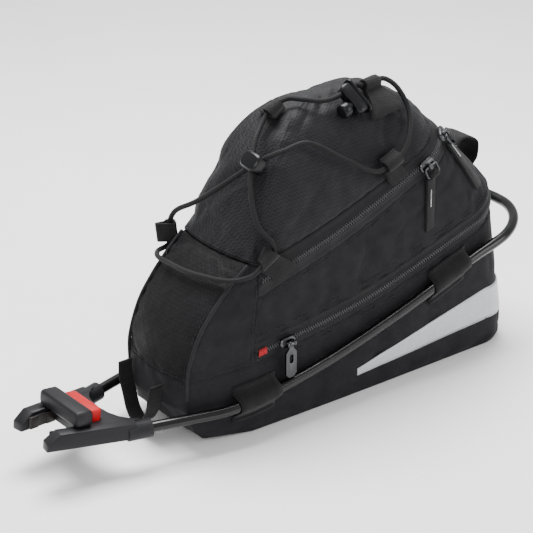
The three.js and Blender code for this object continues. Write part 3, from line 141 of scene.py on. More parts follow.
def cumulative(points):
    """Lengths from the first point of a line, or up each column of a grid."""
    steps = np.linalg.norm(np.diff(points, axis=0), axis=-1)
    return np.concatenate([np.zeros((1, *steps.shape[1:])), np.cumsum(steps, axis=0)])


def at_length(points, run, at):
    """Points at some lengths along a line whose own points lie at the lengths in run."""
    return np.stack([np.interp(at, run, points[:, k]) for k in range(3)], axis=-1)


def evenly(points, step):
    """The same line with points an even step apart."""
    points = np.asarray(points, float)
    run = cumulative(points)
    count = max(2, int(round(run[-1] / step)) + 1)
    return at_length(points, run, np.linspace(0, run[-1], count))


def grid_faces(rows, columns, closed, bridged=False, first=0):
    """Quads of a grid of points, joined round its columns or across its last row if asked."""
    across = columns if closed else columns - 1
    corners = [(first + i * columns, j, (j + 1) % columns) for i in range(rows - 1) for j in range(across)]
    faces = [(row + j, row + k, row + columns + k, row + columns + j) for row, j, k in corners]
    if bridged:
        last = first + (rows - 1) * columns
        for j in range(columns // 2):
            loop = list(dict.fromkeys([j, j + 1, (columns - j - 1) % columns, (columns - j) % columns]))
            if len(loop) > 2:
                faces.append(tuple(last + k for k in loop))
    return faces


def tube(name, points, radius, sides, wobble=0.0):
    """A round tube along a line, with closed ends and its length and girth as UVs."""
    tangents = unit(np.gradient(points, axis=0))
    normal = unit(np.cross(tangents[0], [0.3, 0.2, 1.0]))
    vertices = []
    uvs = []
    for p, t, run in zip(points, tangents, cumulative(points)):
        normal = unit(normal - t * np.dot(normal, t))
        side = np.cross(t, normal)
        r = radius * (1 + wobble * noise.noise(Vector((run * 0.11, 3.7, 1.3))))
        for k in range(sides):
            a = 2 * math.pi * k / sides
            vertices.append(p + r * (math.cos(a) * normal + math.sin(a) * side))
            uvs.append((run * MM, radius * a * MM))
    faces = grid_faces(len(points), sides, True)
    for row, turn in ((0, 1), (len(points) - 1, -1)):
        c = len(vertices)
        vertices.append(points[row] - turn * tangents[row] * radius * 0.35)
        uvs.append((0, 0))
        for k in range(sides):
            a, b = row * sides + k, row * sides + (k + 1) % sides
            faces.append((c, b, a) if turn > 0 else (c, a, b))
    return outward(new_object(name, vertices, faces, uvs))


# Bungee cord: the same route as the CAD solid's, in metres
CORD_ROUTE = [
    (0.0235, -0.0184, 0.2371), (0.0162, -0.0195, 0.2371), (0.0106, -0.018, 0.2383),
    (-0.0001, -0.0192, 0.2364), (-0.0107, -0.0208, 0.2342), (-0.022, -0.0195, 0.2336),
    (-0.033, -0.012, 0.235), (-0.0405, -0.0035, 0.235), (-0.047, -0.0009, 0.2327),
    (-0.0526, -0.001, 0.2302), (-0.0576, -0.0012, 0.227), (-0.0665, -0.0045, 0.2198),
    (-0.075, -0.0098, 0.2144), (-0.0801, -0.0139, 0.2084), (-0.0846, -0.018, 0.2018),
    (-0.0891, -0.0222, 0.1952), (-0.095, -0.031, 0.1785), (-0.096, -0.041, 0.161),
    (-0.0897, -0.0465, 0.1515), (-0.0876, -0.0471, 0.1428), (-0.0932, -0.047, 0.1385),
    (-0.0989, -0.0468, 0.1338), (-0.1048, -0.047, 0.1303), (-0.1135, -0.0457, 0.1286),
    (-0.122, -0.0395, 0.1273), (-0.129, -0.018, 0.125), (-0.132, 0.002, 0.1235),
    (-0.1315, 0.02, 0.1225), (-0.1305, 0.035, 0.1218), (-0.122, 0.0468, 0.12),
    (-0.111, 0.049, 0.1215), (-0.1092, 0.0483, 0.129), (-0.1103, 0.0483, 0.1385),
    (-0.1095, 0.0425, 0.1495), (-0.105, 0.0245, 0.1615), (-0.0995, 0.008, 0.1745),
    (-0.091, -0.005, 0.187), (-0.0854, -0.0117, 0.1939), (-0.0809, -0.0176, 0.1991),
    (-0.0765, -0.0235, 0.2042), (-0.067, -0.032, 0.21), (-0.0502, -0.0365, 0.2134),
    (-0.0262, -0.043, 0.1994), (-0.002, -0.0473, 0.1844), (0.009, -0.0477, 0.1803),
    (0.0156, -0.0474, 0.1812), (0.0224, -0.0473, 0.184), (0.0291, -0.0472, 0.1869),
    (0.0395, -0.0443, 0.1965), (0.0485, -0.0345, 0.214), (0.0445, -0.0245, 0.231),
    (0.038, -0.0185, 0.237), (0.031, -0.0172, 0.2374), (0.0255, -0.018, 0.2371),
]
CORD_DIAMETER = 0.0038
cord_line = evenly(catmull(np.array(CORD_ROUTE) / MM, 12), 1.1)
bungee = tube("bungee", cord_line, CORD_DIAMETER / MM / 2, 12)


# Materials
SOCKETS = {
    "sheen": "Sheen Weight",
    "sheen_rough": "Sheen Roughness",
    "specular": "Specular IOR Level",
    "metallic": "Metallic",
}


def shade(color, factor):
    return tuple(min(1, c * factor) for c in color)


class Nodes:
    """A material's node tree with short ways to add to it."""

    def __init__(self, name):
        self.material = bpy.data.materials.new(name)
        self.material.use_nodes = True
        self.tree = self.material.node_tree
        self.coordinates = self.tree.nodes.new("ShaderNodeTexCoord")

    def node(self, kind, inputs, **settings):
        """A new node with its settings made and its inputs set or linked."""
        node = self.tree.nodes.new(f"ShaderNode{kind}")
        for key, value in settings.items():
            setattr(node, key, value)
        for key, value in inputs.items():
            if isinstance(value, bpy.types.NodeSocket):
                self.tree.links.new(value, node.inputs[key])
            else:
                node.inputs[key].default_value = value
        return node

    def math(self, operation, a, b=0.5):
        return self.node("Math", {0: a, 1: b}, operation=operation).outputs[0]

    def times(self, a, b):
        return self.math("MULTIPLY", a, b)

    def plus(self, a, b):
        return self.math("ADD", a, b)

    def noise(self, scale, detail, rough=0.55):
        place = self.coordinates.outputs["Object"]
        inputs = {"Vector": place, "Scale": scale, "Detail": detail, "Roughness": rough}
        return self.node("TexNoise", inputs).outputs["Fac"]

    def uv(self):
        return self.node("SeparateXYZ", {0: self.coordinates.outputs["UV"]}).outputs[:2]

    def ranged(self, value, low, high, out_low, out_high):
        inputs = {"Value": value, "From Min": low, "From Max": high, "To Min": out_low, "To Max": out_high}
        return self.node("MapRange", inputs).outputs[0]

    def mix(self, factor, a, b):
        a, b = [(*value, 1) if isinstance(value, tuple) else value for value in (a, b)]
        return self.node("Mix", {0: factor, 6: a, 7: b}, data_type="RGBA").outputs[2]

    def bump(self, height, distance, strength, normal=None):
        inputs = {"Height": height, "Distance": distance, "Strength": strength}
        if normal is not None:
            inputs["Normal"] = normal
        return self.node("Bump", inputs).outputs[0]

    def sine(self, value, period):
        """A sine of a length in metres."""
        return self.math("SINE", self.times(value, 2 * math.pi / period))

    def wave(self, value, period):
        """The same from 0 to 1."""
        return self.ranged(self.sine(value, period), -1, 1, 0, 1)

    def patchy(self, scale, detail, low, high):
        """Noise spread between two values."""
        return self.ranged(self.noise(scale, detail), 0.3, 0.7, low, high)

    def mottled(self, color, low, high, scale, detail):
        """A colour that changes slowly between two shades of itself."""
        return self.mix(self.patchy(scale, detail, 0, 1), shade(color, low), shade(color, high))

    def surface(self, color, rough, normal=None, **numbers):
        """Links the shader's main inputs, sets its other numbers and gives the material."""
        shader = self.tree.nodes["Principled BSDF"]
        for key, socket in (("Base Color", color), ("Roughness", rough), ("Normal", normal)):
            if socket is not None:
                self.tree.links.new(socket, shader.inputs[key])
        for key, number in numbers.items():
            shader.inputs[SOCKETS[key]].default_value = number
        return self.material


def cloth(name, color, pitch, rough, sheen, patch, ripstop=0.0, depth=0.00016, specular=0.2, gap_shade=0.55):
    """Woven fabric: threads from the UVs with painted shade in the gaps between them, slow changes of tone,
    fuzz and, if asked, slanted ripstop lines.
    """
    n = Nodes(name)
    u, v = n.uv()
    if ripstop:
        u, v = [n.times(n.math(way, u, v), math.sqrt(0.5)) for way in ("ADD", "SUBTRACT")]
    checks = n.times(n.sine(u, 2 * pitch), n.sine(v, 2 * pitch))
    weave = n.math(
        "MAXIMUM",
        n.times(n.wave(u, pitch), n.ranged(checks, -1, 1, 0.35, 1)),
        n.times(n.wave(v, pitch), n.ranged(checks, -1, 1, 1, 0.35)),
    )
    height = weave
    if ripstop:
        lines = [n.math("POWER", n.wave(axis, ripstop), 14) for axis in (u, v)]
        height = n.plus(height, n.times(n.math("MAXIMUM", *lines), 0.6))
    fuzz = n.noise(2600, 2)
    height = n.plus(height, n.times(fuzz, 0.7))
    # Painted shade: where the weave is low, between the threads, the colour is darkened to a share of itself
    gap_shade_mask = n.ranged(n.times(weave, n.ranged(fuzz, 0.3, 0.7, 0.7, 1.2)), 0.2, 1.0, 0, 1)
    creases = n.bump(n.noise(75, 5, 0.6), 0.0012, 0.6)
    return n.surface(
        n.mix(gap_shade_mask, shade(color, gap_shade), n.mottled(color, 1 - patch, 1 + patch, 16, 4)),
        n.patchy(90, 3, rough - 0.08, rough + 0.08),
        n.bump(height, depth, 0.9, creases),
        sheen=sheen, sheen_rough=0.45, specular=specular,
    )


def webbing(name, color, pitch=0.0019, rough=0.75):
    """Woven webbing: ribs across it in a herringbone, painted shade in the grooves between them, and fuzz."""
    n = Nodes(name)
    u, v = n.uv()
    zigzag = n.math("SUBTRACT", n.math("FRACT", n.times(v, 1 / (pitch * 3))), 0.5)
    slant = n.times(n.math("ABSOLUTE", zigzag), pitch * 3)
    ribs = n.wave(n.plus(u, slant), pitch)
    ends = n.ranged(n.wave(v, pitch * 0.75), 0, 1, 0.5, 1)
    height = n.plus(n.times(ribs, ends), n.times(n.noise(2200, 2), 0.5))
    # Painted shade: the grooves between the ribs are darkened to half the colour
    return n.surface(
        n.mix(n.ranged(height, 0.2, 1.2, 0, 1), shade(color, 0.5), n.mottled(color, 0.8, 1.3, 45, 3)),
        n.patchy(120, 2, rough - 0.07, rough + 0.07),
        n.bump(height, 0.00025, 0.9),
        sheen=0.06, specular=0.2,
    )


def braid(name, color):
    """Braided cover of a cord: two sets of strands that cross on the slant, with painted light on their
    crowns and painted shade in the grooves between them.
    """
    n = Nodes(name)
    u, v = n.uv()
    strands = [n.math("POWER", n.wave(n.math(way, u, v), 0.0021), 2) for way in ("ADD", "SUBTRACT")]
    height = n.math("MAXIMUM", *strands)
    fuzz = n.noise(2500, 2)
    # Painted light and shade: the colour is lightened on the strands' crowns and darkened in the grooves
    # between them
    tone = n.ranged(n.plus(height, n.times(fuzz, 0.4)), 0.3, 1.3, 0, 1)
    return n.surface(
        n.mix(tone, shade(color, 0.4), shade(color, 1.5)),
        n.ranged(fuzz, 0.3, 0.7, 0.5, 0.68),
        n.bump(height, 0.0003, 0.8),
        sheen=0.02, specular=0.2,
    )


def moulded(name, color, rough, specular, grain=900, depth=0.00006, scuff=0.48):
    """Moulded plastic or rubber: fine grain, faint flow marks and slightly rubbed edges."""
    n = Nodes(name)
    grains = n.noise(grain, 3)
    edges = n.ranged(n.node("NewGeometry", {}).outputs["Pointiness"], 0.5, 0.58, 0, 1)
    rubbed = n.times(edges, n.ranged(n.noise(160, 3), 0.35, 0.65, 0.2, 1))
    dull = n.plus(n.noise(24, 4), n.times(grains, 0.5))
    return n.surface(
        n.mix(n.times(rubbed, scuff), n.mottled(color, 0.85, 1.15, 24, 4), shade(color, 1.9)),
        n.ranged(dull, 0.4, 1.1, rough - 0.09, rough + 0.09),
        n.bump(grains, depth, 0.8),
        specular=specular,
    )


def metal(name, color, rough, metallic=1.0, specular=0.5, mark=0.00003):
    """Plated or lacquered metal with fine drawn marks and small dull patches."""
    n = Nodes(name)
    drawn = n.noise(700, 4, 0.6)
    dull = n.plus(n.noise(60, 4), n.times(drawn, 0.6))
    return n.surface(
        n.mottled(color, 0.85, 1.15, 60, 4),
        n.ranged(dull, 0.5, 1.1, rough - 0.08, rough + 0.12),
        n.bump(drawn, mark, 0.6),
        metallic=metallic, specular=specular,
    )


def film(name, color):
    """Reflective film: tiny glass beads in a fine honeycomb."""
    n = Nodes(name)
    beads = n.node("TexVoronoi", {"Vector": n.coordinates.outputs["UV"], "Scale": 900}).outputs["Distance"]
    return n.surface(
        n.mix(n.ranged(beads, 0.1, 0.7, 0, 1), n.mottled(color, 0.9, 1.08, 30, 3), shade(color, 0.8)),
        n.patchy(140, 3, 0.3, 0.44),
        n.bump(beads, 0.00008, 0.5),
        metallic=0.25,
    )


# Each cloth's gap shade sets how dark the painted shade between its threads is; the bag fabric keeps the
# default
FABRIC = cloth("bag_fabric", (0.0085, 0.0079, 0.0102), pitch=0.0013, rough=0.8, sheen=0.03, patch=0.25)
RIPSTOP = cloth("ripstop_fabric", (0.0125, 0.0122, 0.0155), pitch=0.0024, rough=0.64, sheen=0.04, patch=0.25,
                ripstop=0.0072, depth=0.0002, gap_shade=0.12)
FRONT_CLOTH = cloth("front_fabric", (0.0062, 0.006, 0.0075), pitch=0.0024, rough=0.68, sheen=0.01, patch=0.2,
                    ripstop=0.0072, depth=0.00024, specular=0.16, gap_shade=0.15)
TAPE = cloth("zip_tape_cloth", (0.0068, 0.0065, 0.008), pitch=0.0009, rough=0.62, sheen=0.02, patch=0.15)
PIPING_CLOTH = cloth("piping_cloth", (0.008, 0.008, 0.0095), pitch=0.0009, rough=0.58, sheen=0.03, patch=0.15)
STRAP = webbing("webbing_black", (0.0062, 0.0061, 0.007))
BRAID = braid("bungee_braid", (0.0036, 0.0036, 0.0043))
THREAD = braid("thread_black", (0.021, 0.021, 0.024))
RED_THREAD = braid("thread_red", (0.42, 0.02, 0.025))
PALE_THREAD = braid("thread_pale", (0.5, 0.5, 0.5))
FILM = film("reflective_film", (0.47, 0.485, 0.5))
PLASTIC = moulded("adapter_plastic", (0.0075, 0.0074, 0.0088), rough=0.46, specular=0.2)
LOCK_PLASTIC = moulded("lock_plastic", (0.004, 0.004, 0.0048), rough=0.26, specular=0.2, depth=0.00003)
RED = moulded("release_red", (0.36, 0.004, 0.007), rough=0.42, specular=0.2, depth=0.00003, scuff=0.08)
RUBBER = moulded("pad_rubber", (0.009, 0.0065, 0.006), rough=0.5, specular=0.25, grain=500)
COIL = moulded("coil_nylon", (0.016, 0.0155, 0.018), rough=0.36, specular=0.45, grain=1500, depth=0.00002)
ROD = metal("rail_lacquer", (0.0035, 0.0035, 0.004), rough=0.2, metallic=0.0, specular=0.35, mark=0.000006)
NICKEL = metal("dark_nickel", (0.07, 0.07, 0.075), rough=0.26)

finish_piece(bungee, BRAID, nodes=["bungee_cord"])


# The bag's outside, with the same sizes as the CAD model's, in millimetres
BAG_LENGTH = 316
BAG_HALF = 46
BAG_HEIGHT = 198
LID_RISE = 72
RIDGE_BASE = 0.82
WALL = 1.8
GAP = 0.3
FRONT_SWEEP = 53
FRONT_FOOT = 55
FRONT_TOP = 135
FRONT_CROWN = 5
SIDE_SEAM = 55
SEAM_LEAN = 6
BAG_FRONT = -BAG_LENGTH / 2
# Rows from the floor up: the front's place and half-width, the widest half-width, the rear's place, the
# corner radius, the front's crown, and five heights from front to rear; lengths are shares of the sizes
FRONT_X, FRONT_HALF, HALF, REAR_X, RADIUS, CROWN, HEIGHTS = range(7)
ROWS = {
    "bottom": (0.05, 0.72, 0.93, 0.988, 24, 0.1, (0.022, 0.003, 0, 0, 0)),
    "edge": (0.022, 0.77, 0.985, 0.994, 25, 0.3, (0.066, 0.035, 0.03, 0.03, 0.03)),
    "tuck": (0.003, 0.783, 1, 0.992, 26, 0.7, (0.155, 0.12, 0.11, 0.13, 0.14)),
    "lower_seam": (0.003, 0.783, 1, 0.946, 28, 1, (FRONT_FOOT / BAG_HEIGHT, 0.288, 0.369, 0.523, 0.606)),
    "lower_zip_top": (0, 0.79, 1.015, 0.94, 29, 1, (0, 0.37, 0.45, 0.609, 0.692)),
    "upper_zip_foot": (0, 0.83, 1.0, 0.8, 33, 1, (0, 0.55, 0.672, 0.838, 0.93)),
    "lid_edge": (0, 0.86, 0.935, 0.753, 29, 1, (0, 0.665, 0.773, 0.914, 1)),
}
ROW_LIST = list(ROWS.values())
TOP = len(ROW_LIST) - 1
UPPER_SHARES = [0, 0, 0, 0, 0.14, 0.8, 1]
FACE, FRONT_SIDE, SIDE, CORNER, REAR = 3, 4, 8, 5, 2
PIPING_COLUMN = FACE
SEAM_COLUMN = PIPING_COLUMN + FRONT_SIDE
CORNER_COLUMN = SEAM_COLUMN + SIDE
REAR_COLUMN = CORNER_COLUMN + CORNER + REAR
COLUMNS = 2 * REAR_COLUMN


def lerp(a, b, t):
    return a + (b - a) * t


def smoothstep(x, low, high):
    t = min(1, max(0, (x - low) / (high - low)))
    return t * t * (3 - 2 * t)


def smooth(stations, share):
    """A smooth curve through (share, value) stations."""
    last = len(stations) - 1
    i = 0
    while i < last - 1 and share > stations[i + 1][0]:
        i += 1

    def slope(k):
        a, b = stations[max(0, k - 1)], stations[min(last, k + 1)]
        return (b[1] - a[1]) / (b[0] - a[0])

    (x0, y0), (x1, y1) = stations[i], stations[i + 1]
    span = x1 - x0
    t = min(1, max(0, (share - x0) / span))
    return (
        (2 * t ** 3 - 3 * t ** 2 + 1) * y0 + (t ** 3 - 2 * t ** 2 + t) * span * slope(i)
        + (3 * t ** 2 - 2 * t ** 3) * y1 + (t ** 3 - t ** 2) * span * slope(i + 1)
    )


@functools.lru_cache(maxsize=8192)
def body_row(level):
    """The bag's outline at a level, which is a row's number or a place between two rows."""
    i = min(TOP - 1, int(level))
    t = level - i
    a, b = ROW_LIST[i], ROW_LIST[i + 1]

    def between(column):
        return lerp(a[column], b[column], t)

    upper = lerp(UPPER_SHARES[i], UPPER_SHARES[i + 1], t)
    if level > 3:
        upper = max(1e-6, upper)
    heights = [lerp(p, q, t) * BAG_HEIGHT for p, q in zip(a[HEIGHTS], b[HEIGHTS])]
    front_x = between(FRONT_X) * BAG_LENGTH
    if upper > 0:
        front_x = FRONT_SWEEP * upper * upper + ROWS["lower_seam"][FRONT_X] * BAG_LENGTH
        heights[0] = lerp(FRONT_FOOT, FRONT_TOP, upper)
    return {
        "front_x": front_x,
        "front_half": between(FRONT_HALF) * BAG_HALF,
        "half": between(HALF) * BAG_HALF,
        "rear_x": between(REAR_X) * BAG_LENGTH,
        "radius": between(RADIUS),
        "crown": between(CROWN) * FRONT_CROWN,
        "heights": heights,
        "seam_x": SIDE_SEAM + SEAM_LEAN * upper ** 3,
    }


def row_point(row, column):
    """A point on the near half of an outline; columns count from the front's middle round to the rear's."""
    seam_x, heights = row["seam_x"], row["heights"]
    corner_x = row["rear_x"] - row["radius"]
    if column <= PIPING_COLUMN:
        share = column / PIPING_COLUMN
        y = row["front_half"] * share
        x = row["front_x"] - row["crown"] * (1 - share * share)
        z = heights[0]
    elif column <= SEAM_COLUMN:
        share = (column - PIPING_COLUMN) / FRONT_SIDE
        x = lerp(row["front_x"], seam_x, share)
        y = lerp(row["front_half"], row["half"] * 0.97, share ** 0.8)
        z = lerp(heights[0], heights[1], share)
    elif column <= CORNER_COLUMN:
        share = (column - SEAM_COLUMN) / SIDE
        x = lerp(seam_x, corner_x, share)
        y = row["half"] * (0.97 + 0.03 * math.sin(min(1, share * 2.2) * math.pi / 2))
        stations = [(0, heights[1]), (0.5, heights[2]), (1, heights[3])]
        z = smooth(stations, (x - seam_x) / (corner_x - seam_x))
    else:
        share = min(1, (column - CORNER_COLUMN) / CORNER)
        turn = share * math.pi / 2
        x = corner_x + row["radius"] * math.sin(turn)
        y = row["half"] - row["radius"] * (1 - math.cos(turn))
        z = lerp(heights[3], heights[4], math.sin(turn * 0.9))
        if column > CORNER_COLUMN + CORNER:
            across = (column - CORNER_COLUMN - CORNER) / REAR
            y *= 1 - across
            x += 2 * (1 - (1 - across) ** 2)
            z = lerp(z, heights[4], across)
    return BAG_FRONT + x, -y, z


def girth_point(level, column):
    row = body_row(level)
    c = column % COLUMNS
    if c <= REAR_COLUMN:
        return np.array(row_point(row, c))
    x, y, z = row_point(row, COLUMNS - c)
    return np.array((x, -y, z))


def body_at(level, column):
    """A point on the bag's surface and its normal."""
    up = girth_point(min(TOP, level + 0.05), column) - girth_point(max(0, level - 0.05), column)
    along = girth_point(level, column + 0.25) - girth_point(level, column - 0.25)
    return girth_point(level, column), unit(np.cross(along, up))


def halved(low, high, below):
    """The value between two others at which a test stops holding."""
    for _ in range(22):
        middle = (low + high) / 2
        if below(middle):
            low = middle
        else:
            high = middle
    return (low + high) / 2


def level_at(height, column):
    return halved(0, TOP, lambda level: girth_point(level, column)[2] < height)


def column_at(distance, level):
    return halved(
        PIPING_COLUMN, CORNER_COLUMN, lambda column: girth_point(level, column)[0] - BAG_FRONT < distance
    )


def wall_at(distance, height):
    """A point on the bag's side and its normal, by its distance from the front and its height."""
    column = (SEAM_COLUMN + CORNER_COLUMN) / 2
    level = 3
    for _ in range(5):
        level = level_at(height, column)
        column = column_at(distance, level)
    return body_at(level, column)


# Relief of the soft panels, in millimetres along the normal: sags, creases and seam puckers
def crease(point, size, seed):
    """A few soft folds: bands of noise with narrow valleys."""
    p = Vector(point) / size + Vector((seed * 7.3, seed * 3.1, seed * 5.7))
    value = noise.noise(p) + 0.5 * noise.noise(p * 2.1)
    return math.exp(-(value / 0.11) ** 2)


def body_relief(point, edge):
    """edge is the distance in millimetres to the panel's nearest seam."""
    p = Vector(point)
    broad = noise.noise(p / 55 + Vector((3.1, 0.7, 8.2)))
    broad += 0.4 * noise.noise(p / 21 + Vector((1.3, 4.4, 0.2)))
    free = 1 - math.exp(-(edge / 9) ** 2)
    pucker = math.exp(-(edge / 6) ** 2) * 0.24 * math.sin(p.x * 0.85 + 2.5 * noise.noise(p / 14))
    return free * (0.75 * broad - 0.85 * crease(point, 34, 1.0)) + pucker


def seam_drop(edge):
    """How the cloth turns down into the seam at a panel's edge."""
    return -0.75 * np.exp(-(edge / 0.9) ** 2) - 0.28 * np.exp(-((edge - 3.2) / 0.8) ** 2)


def over_grid(value, *grids):
    """value(...) at each place of one or more grids of the same size."""
    return np.array([[value(*items) for items in zip(*rows)] for rows in zip(*grids)])


def raised(points, normals, lift):
    """A grid moved along its normals."""
    return points + normals * lift[..., None]


def ripples(points, size, height):
    """Small soft waves of noise over a grid."""
    return height * over_grid(lambda p: noise.noise(Vector(p) / size), points)


def shell(name, outer, inner, closed=False, cap=None, bridge=False):
    """A thin closed wall from two grids of points; UVs are lengths along and up the grid."""
    rows, columns = outer.shape[:2]
    half = rows * columns
    vertices = [*outer.reshape(-1, 3), *inner.reshape(-1, 3)]
    u = cumulative(outer[rows // 2])
    v = cumulative(outer)
    uv = [(u[j] * MM, v[i, j] * MM) for i in range(rows) for j in range(columns)] * 2
    quads = grid_faces(rows, columns, closed, bridge)
    faces = quads + [(half + first, *(half + k for k in reversed(others))) for first, *others in quads]

    def join(line):
        """Joins the two walls along a line of the outer one's vertices."""
        faces.extend((a, b, b + half, a + half) for a, b in zip(line, line[1:]))

    foot = [j % columns for j in range(columns + 1 if closed else columns)]
    if not bridge:
        join([half - columns + j for j in foot])
    if cap is None:
        join(foot)
    else:
        for start, centre in zip((0, half), cap):
            faces.extend((len(vertices), start + b, start + a) for a, b in zip(foot, foot[1:]))
            vertices.append(centre)
            uv.append((0, 0))
    if not closed:
        join(range(0, half, columns))
        join(range(columns - 1, half, columns))
    return outward(new_object(name, vertices, faces, uv))


def edge_distance(points, closed, foot=True, top=True):
    """For each grid point, the distance in millimetres to the nearest sewn edge."""
    up = cumulative(points)
    distance = np.full(points.shape[:2], 1e3)
    if foot:
        distance = np.minimum(distance, up)
    if top:
        distance = np.minimum(distance, up[-1] - up)
    if not closed:
        along = cumulative(points.transpose(1, 0, 2)).transpose(1, 0)
        distance = np.minimum(distance, np.minimum(along, along[:, -1:] - along))
    return distance


LAST_FRAME = 20


def settled(points, normals, closed, bridged=False, most_in=1.8, most_out=0.6):
    """A panel after a short cloth simulation: sewn edges held, some spare cloth, air behind it."""
    rows, columns = points.shape[:2]
    obj = new_object("settling", points.reshape(-1, 3), grid_faces(rows, columns, closed, bridged))
    held = set(range(columns))
    if not bridged:
        held |= set(range((rows - 1) * columns, rows * columns))
    if not closed:
        held |= {i * columns for i in range(rows)} | {i * columns + columns - 1 for i in range(rows)}
    obj.vertex_groups.new(name="sewn").add(sorted(held), 1.0, "REPLACE")
    modifier = obj.modifiers.new("settling", "CLOTH")
    settings = modifier.settings
    settings.quality = 5
    settings.vertex_group_mass = "sewn"
    settings.tension_stiffness = 15
    settings.compression_stiffness = 15
    settings.shear_stiffness = 5
    settings.bending_stiffness = 0.2
    settings.use_pressure = True
    settings.uniform_pressure_force = 4
    settings.shrink_min = -0.025
    settings.effector_weights.gravity = 0
    modifier.point_cache.frame_start = 1
    modifier.point_cache.frame_end = LAST_FRAME
    scene = bpy.context.scene
    for number in range(1, LAST_FRAME + 1):
        scene.frame_set(number)
    result = obj.evaluated_get(bpy.context.evaluated_depsgraph_get()).data
    moved = np.zeros(3 * rows * columns)
    result.vertices.foreach_get("co", moved)
    moved = moved.reshape(rows, columns, 3) / MM
    scene.frame_set(1)
    mesh = obj.data
    bpy.data.objects.remove(obj)
    bpy.data.meshes.remove(mesh)
    shift = np.nan_to_num(((moved - points) * normals).sum(-1))
    shift = np.where(shift > 0, most_out * np.tanh(shift / most_out), most_in * np.tanh(shift / most_in))
    return raised(points, normals, shift)


def body_grid(levels, columns):
    """Points and normals of the bag's surface over a grid of levels and columns."""
    grid = [[body_at(float(level), float(column)) for column in columns] for level in levels]
    points = np.array([[p for p, _ in row] for row in grid])
    normals = np.array([[n for _, n in row] for row in grid])
    return points, normals


def fine(values, step):
    """Stations from the first to the last value about a step apart, closer at both ends."""
    low, high = values
    count = max(2, int(round((high - low) / step)))
    inside = np.linspace(low, high, count + 1)
    close = step * np.array([0.12, 0.3, 0.6])
    return np.unique(np.round(np.r_[inside, low + close, high - close], 6))


def panel(name, levels, columns, relief=1.0):
    """A sewn panel of the bag between two levels and two columns."""
    points, normals = body_grid(levels, columns)
    edge = edge_distance(points, False)
    lift = relief * over_grid(body_relief, points, edge) + seam_drop(edge)
    outer = settled(raised(points, normals, lift), normals, False)
    return shell(name, outer, points - normals * (WALL + 1.6))


def above_floor(point):
    """Eases relief in above the flat floor and the turned edge."""
    return smoothstep(point[2], 3, 18)


ROUND_REAR = (SEAM_COLUMN, COLUMNS - SEAM_COLUMN)

# Base section, with its flat floor
all_columns = np.arange(0, COLUMNS, 0.25)
base_levels = np.r_[np.linspace(0, 1, 7)[:-1], np.linspace(1, 2, 8)[:-1], fine((2, 3), 0.09)]
points, normals = body_grid(base_levels, all_columns)
edge = edge_distance(points, True, foot=False)
lift = over_grid(lambda p, e: 1.3 * body_relief(p, e) * above_floor(p), points, edge) + seam_drop(edge)
outer = settled(raised(points, normals, lift), normals, True, most_out=0.4)
tilted = normals.copy()
tilted[0] = unit(tilted[0] + [0, 0, -1])
inner = points - tilted * (WALL + 1.2)
ring = points[0]
floor_rows = []
floor_inner = []
for share in (0.25, 0.6, 0.86, 0.95):
    row = ring * [share, share, 0]
    row[:, 2] = ring[:, 2] * smoothstep(share, 0.84, 1.0) * 0.5
    floor_rows.append(row)
    floor_inner.append(row * [0.97, 0.96, 1] + [0, 0, WALL])
outer = np.concatenate([np.array(floor_rows), outer])
inner = np.concatenate([np.array(floor_inner), inner])
base = shell("base_panel", outer, inner, closed=True, cap=((0, 0, 0), (0, 0, WALL)))
finish_piece(base, FABRIC, nodes=["base_section"])

# Middle band, front panel and the two front sides
band_columns = fine(ROUND_REAR, 0.2)
middle = panel("middle_panel", fine((4, 5), 0.045), band_columns)
finish_piece(middle, FABRIC, nodes=["middle_band"])
front_levels = fine((3, 6), 0.08)
front = panel("front_panel_cloth", front_levels, fine((-PIPING_COLUMN, PIPING_COLUMN), 0.12), relief=0.8)
finish_piece(front, FRONT_CLOTH, nodes=["front_panel"])
for side_name, low, high in (("near", PIPING_COLUMN, SEAM_COLUMN), ("far", -SEAM_COLUMN, -PIPING_COLUMN)):
    piece = panel(f"front_side_cloth_{side_name}", front_levels, fine((low, high), 0.12), relief=0.8)
    finish_piece(piece, FABRIC, nodes=[f"front_side_{side_name}"])


# Lid: the dome, eased along the girth as the CAD solid's is
RIDGE_START, RIDGE_END, RIDGE_HALF = 0.435, 0.545, 3
DOME = {"front": (2, 0.8), "side": (2.3, 0.6), "rear": (2, 0.85)}


def dome_at(column):
    """The dome's roundness and shoulder at a column."""
    c = column % COLUMNS
    c = COLUMNS - c if c > REAR_COLUMN else c
    front = smoothstep(c, PIPING_COLUMN - 2, SEAM_COLUMN + 4)
    rear = smoothstep(c, CORNER_COLUMN - 2, REAR_COLUMN - 1)
    return [lerp(lerp(f, s, front), r, rear) for f, s, r in zip(DOME["front"], DOME["side"], DOME["rear"])]


def lid_point(rise, column):
    """A point on the lid, from its edge at 0 to its ridge at 1."""
    e = girth_point(6.0, column)
    row = body_row(6.0)
    share = min(1, max(0, (e[0] - BAG_FRONT - row["front_x"]) / (row["rear_x"] - row["front_x"])))
    ridge = (
        BAG_FRONT + BAG_LENGTH * lerp(RIDGE_START, RIDGE_END, share),
        e[1] / row["half"] * RIDGE_HALF,
        RIDGE_BASE * BAG_HEIGHT + LID_RISE,
    )
    roundness, shoulder = dome_at(column)
    full = (1 - (1 - rise) ** roundness) ** shoulder
    x, y, z = (lerp(low, high, t) for low, high, t in zip(e, ridge, (rise, rise, full)))
    return np.array((x, y, z + GAP))


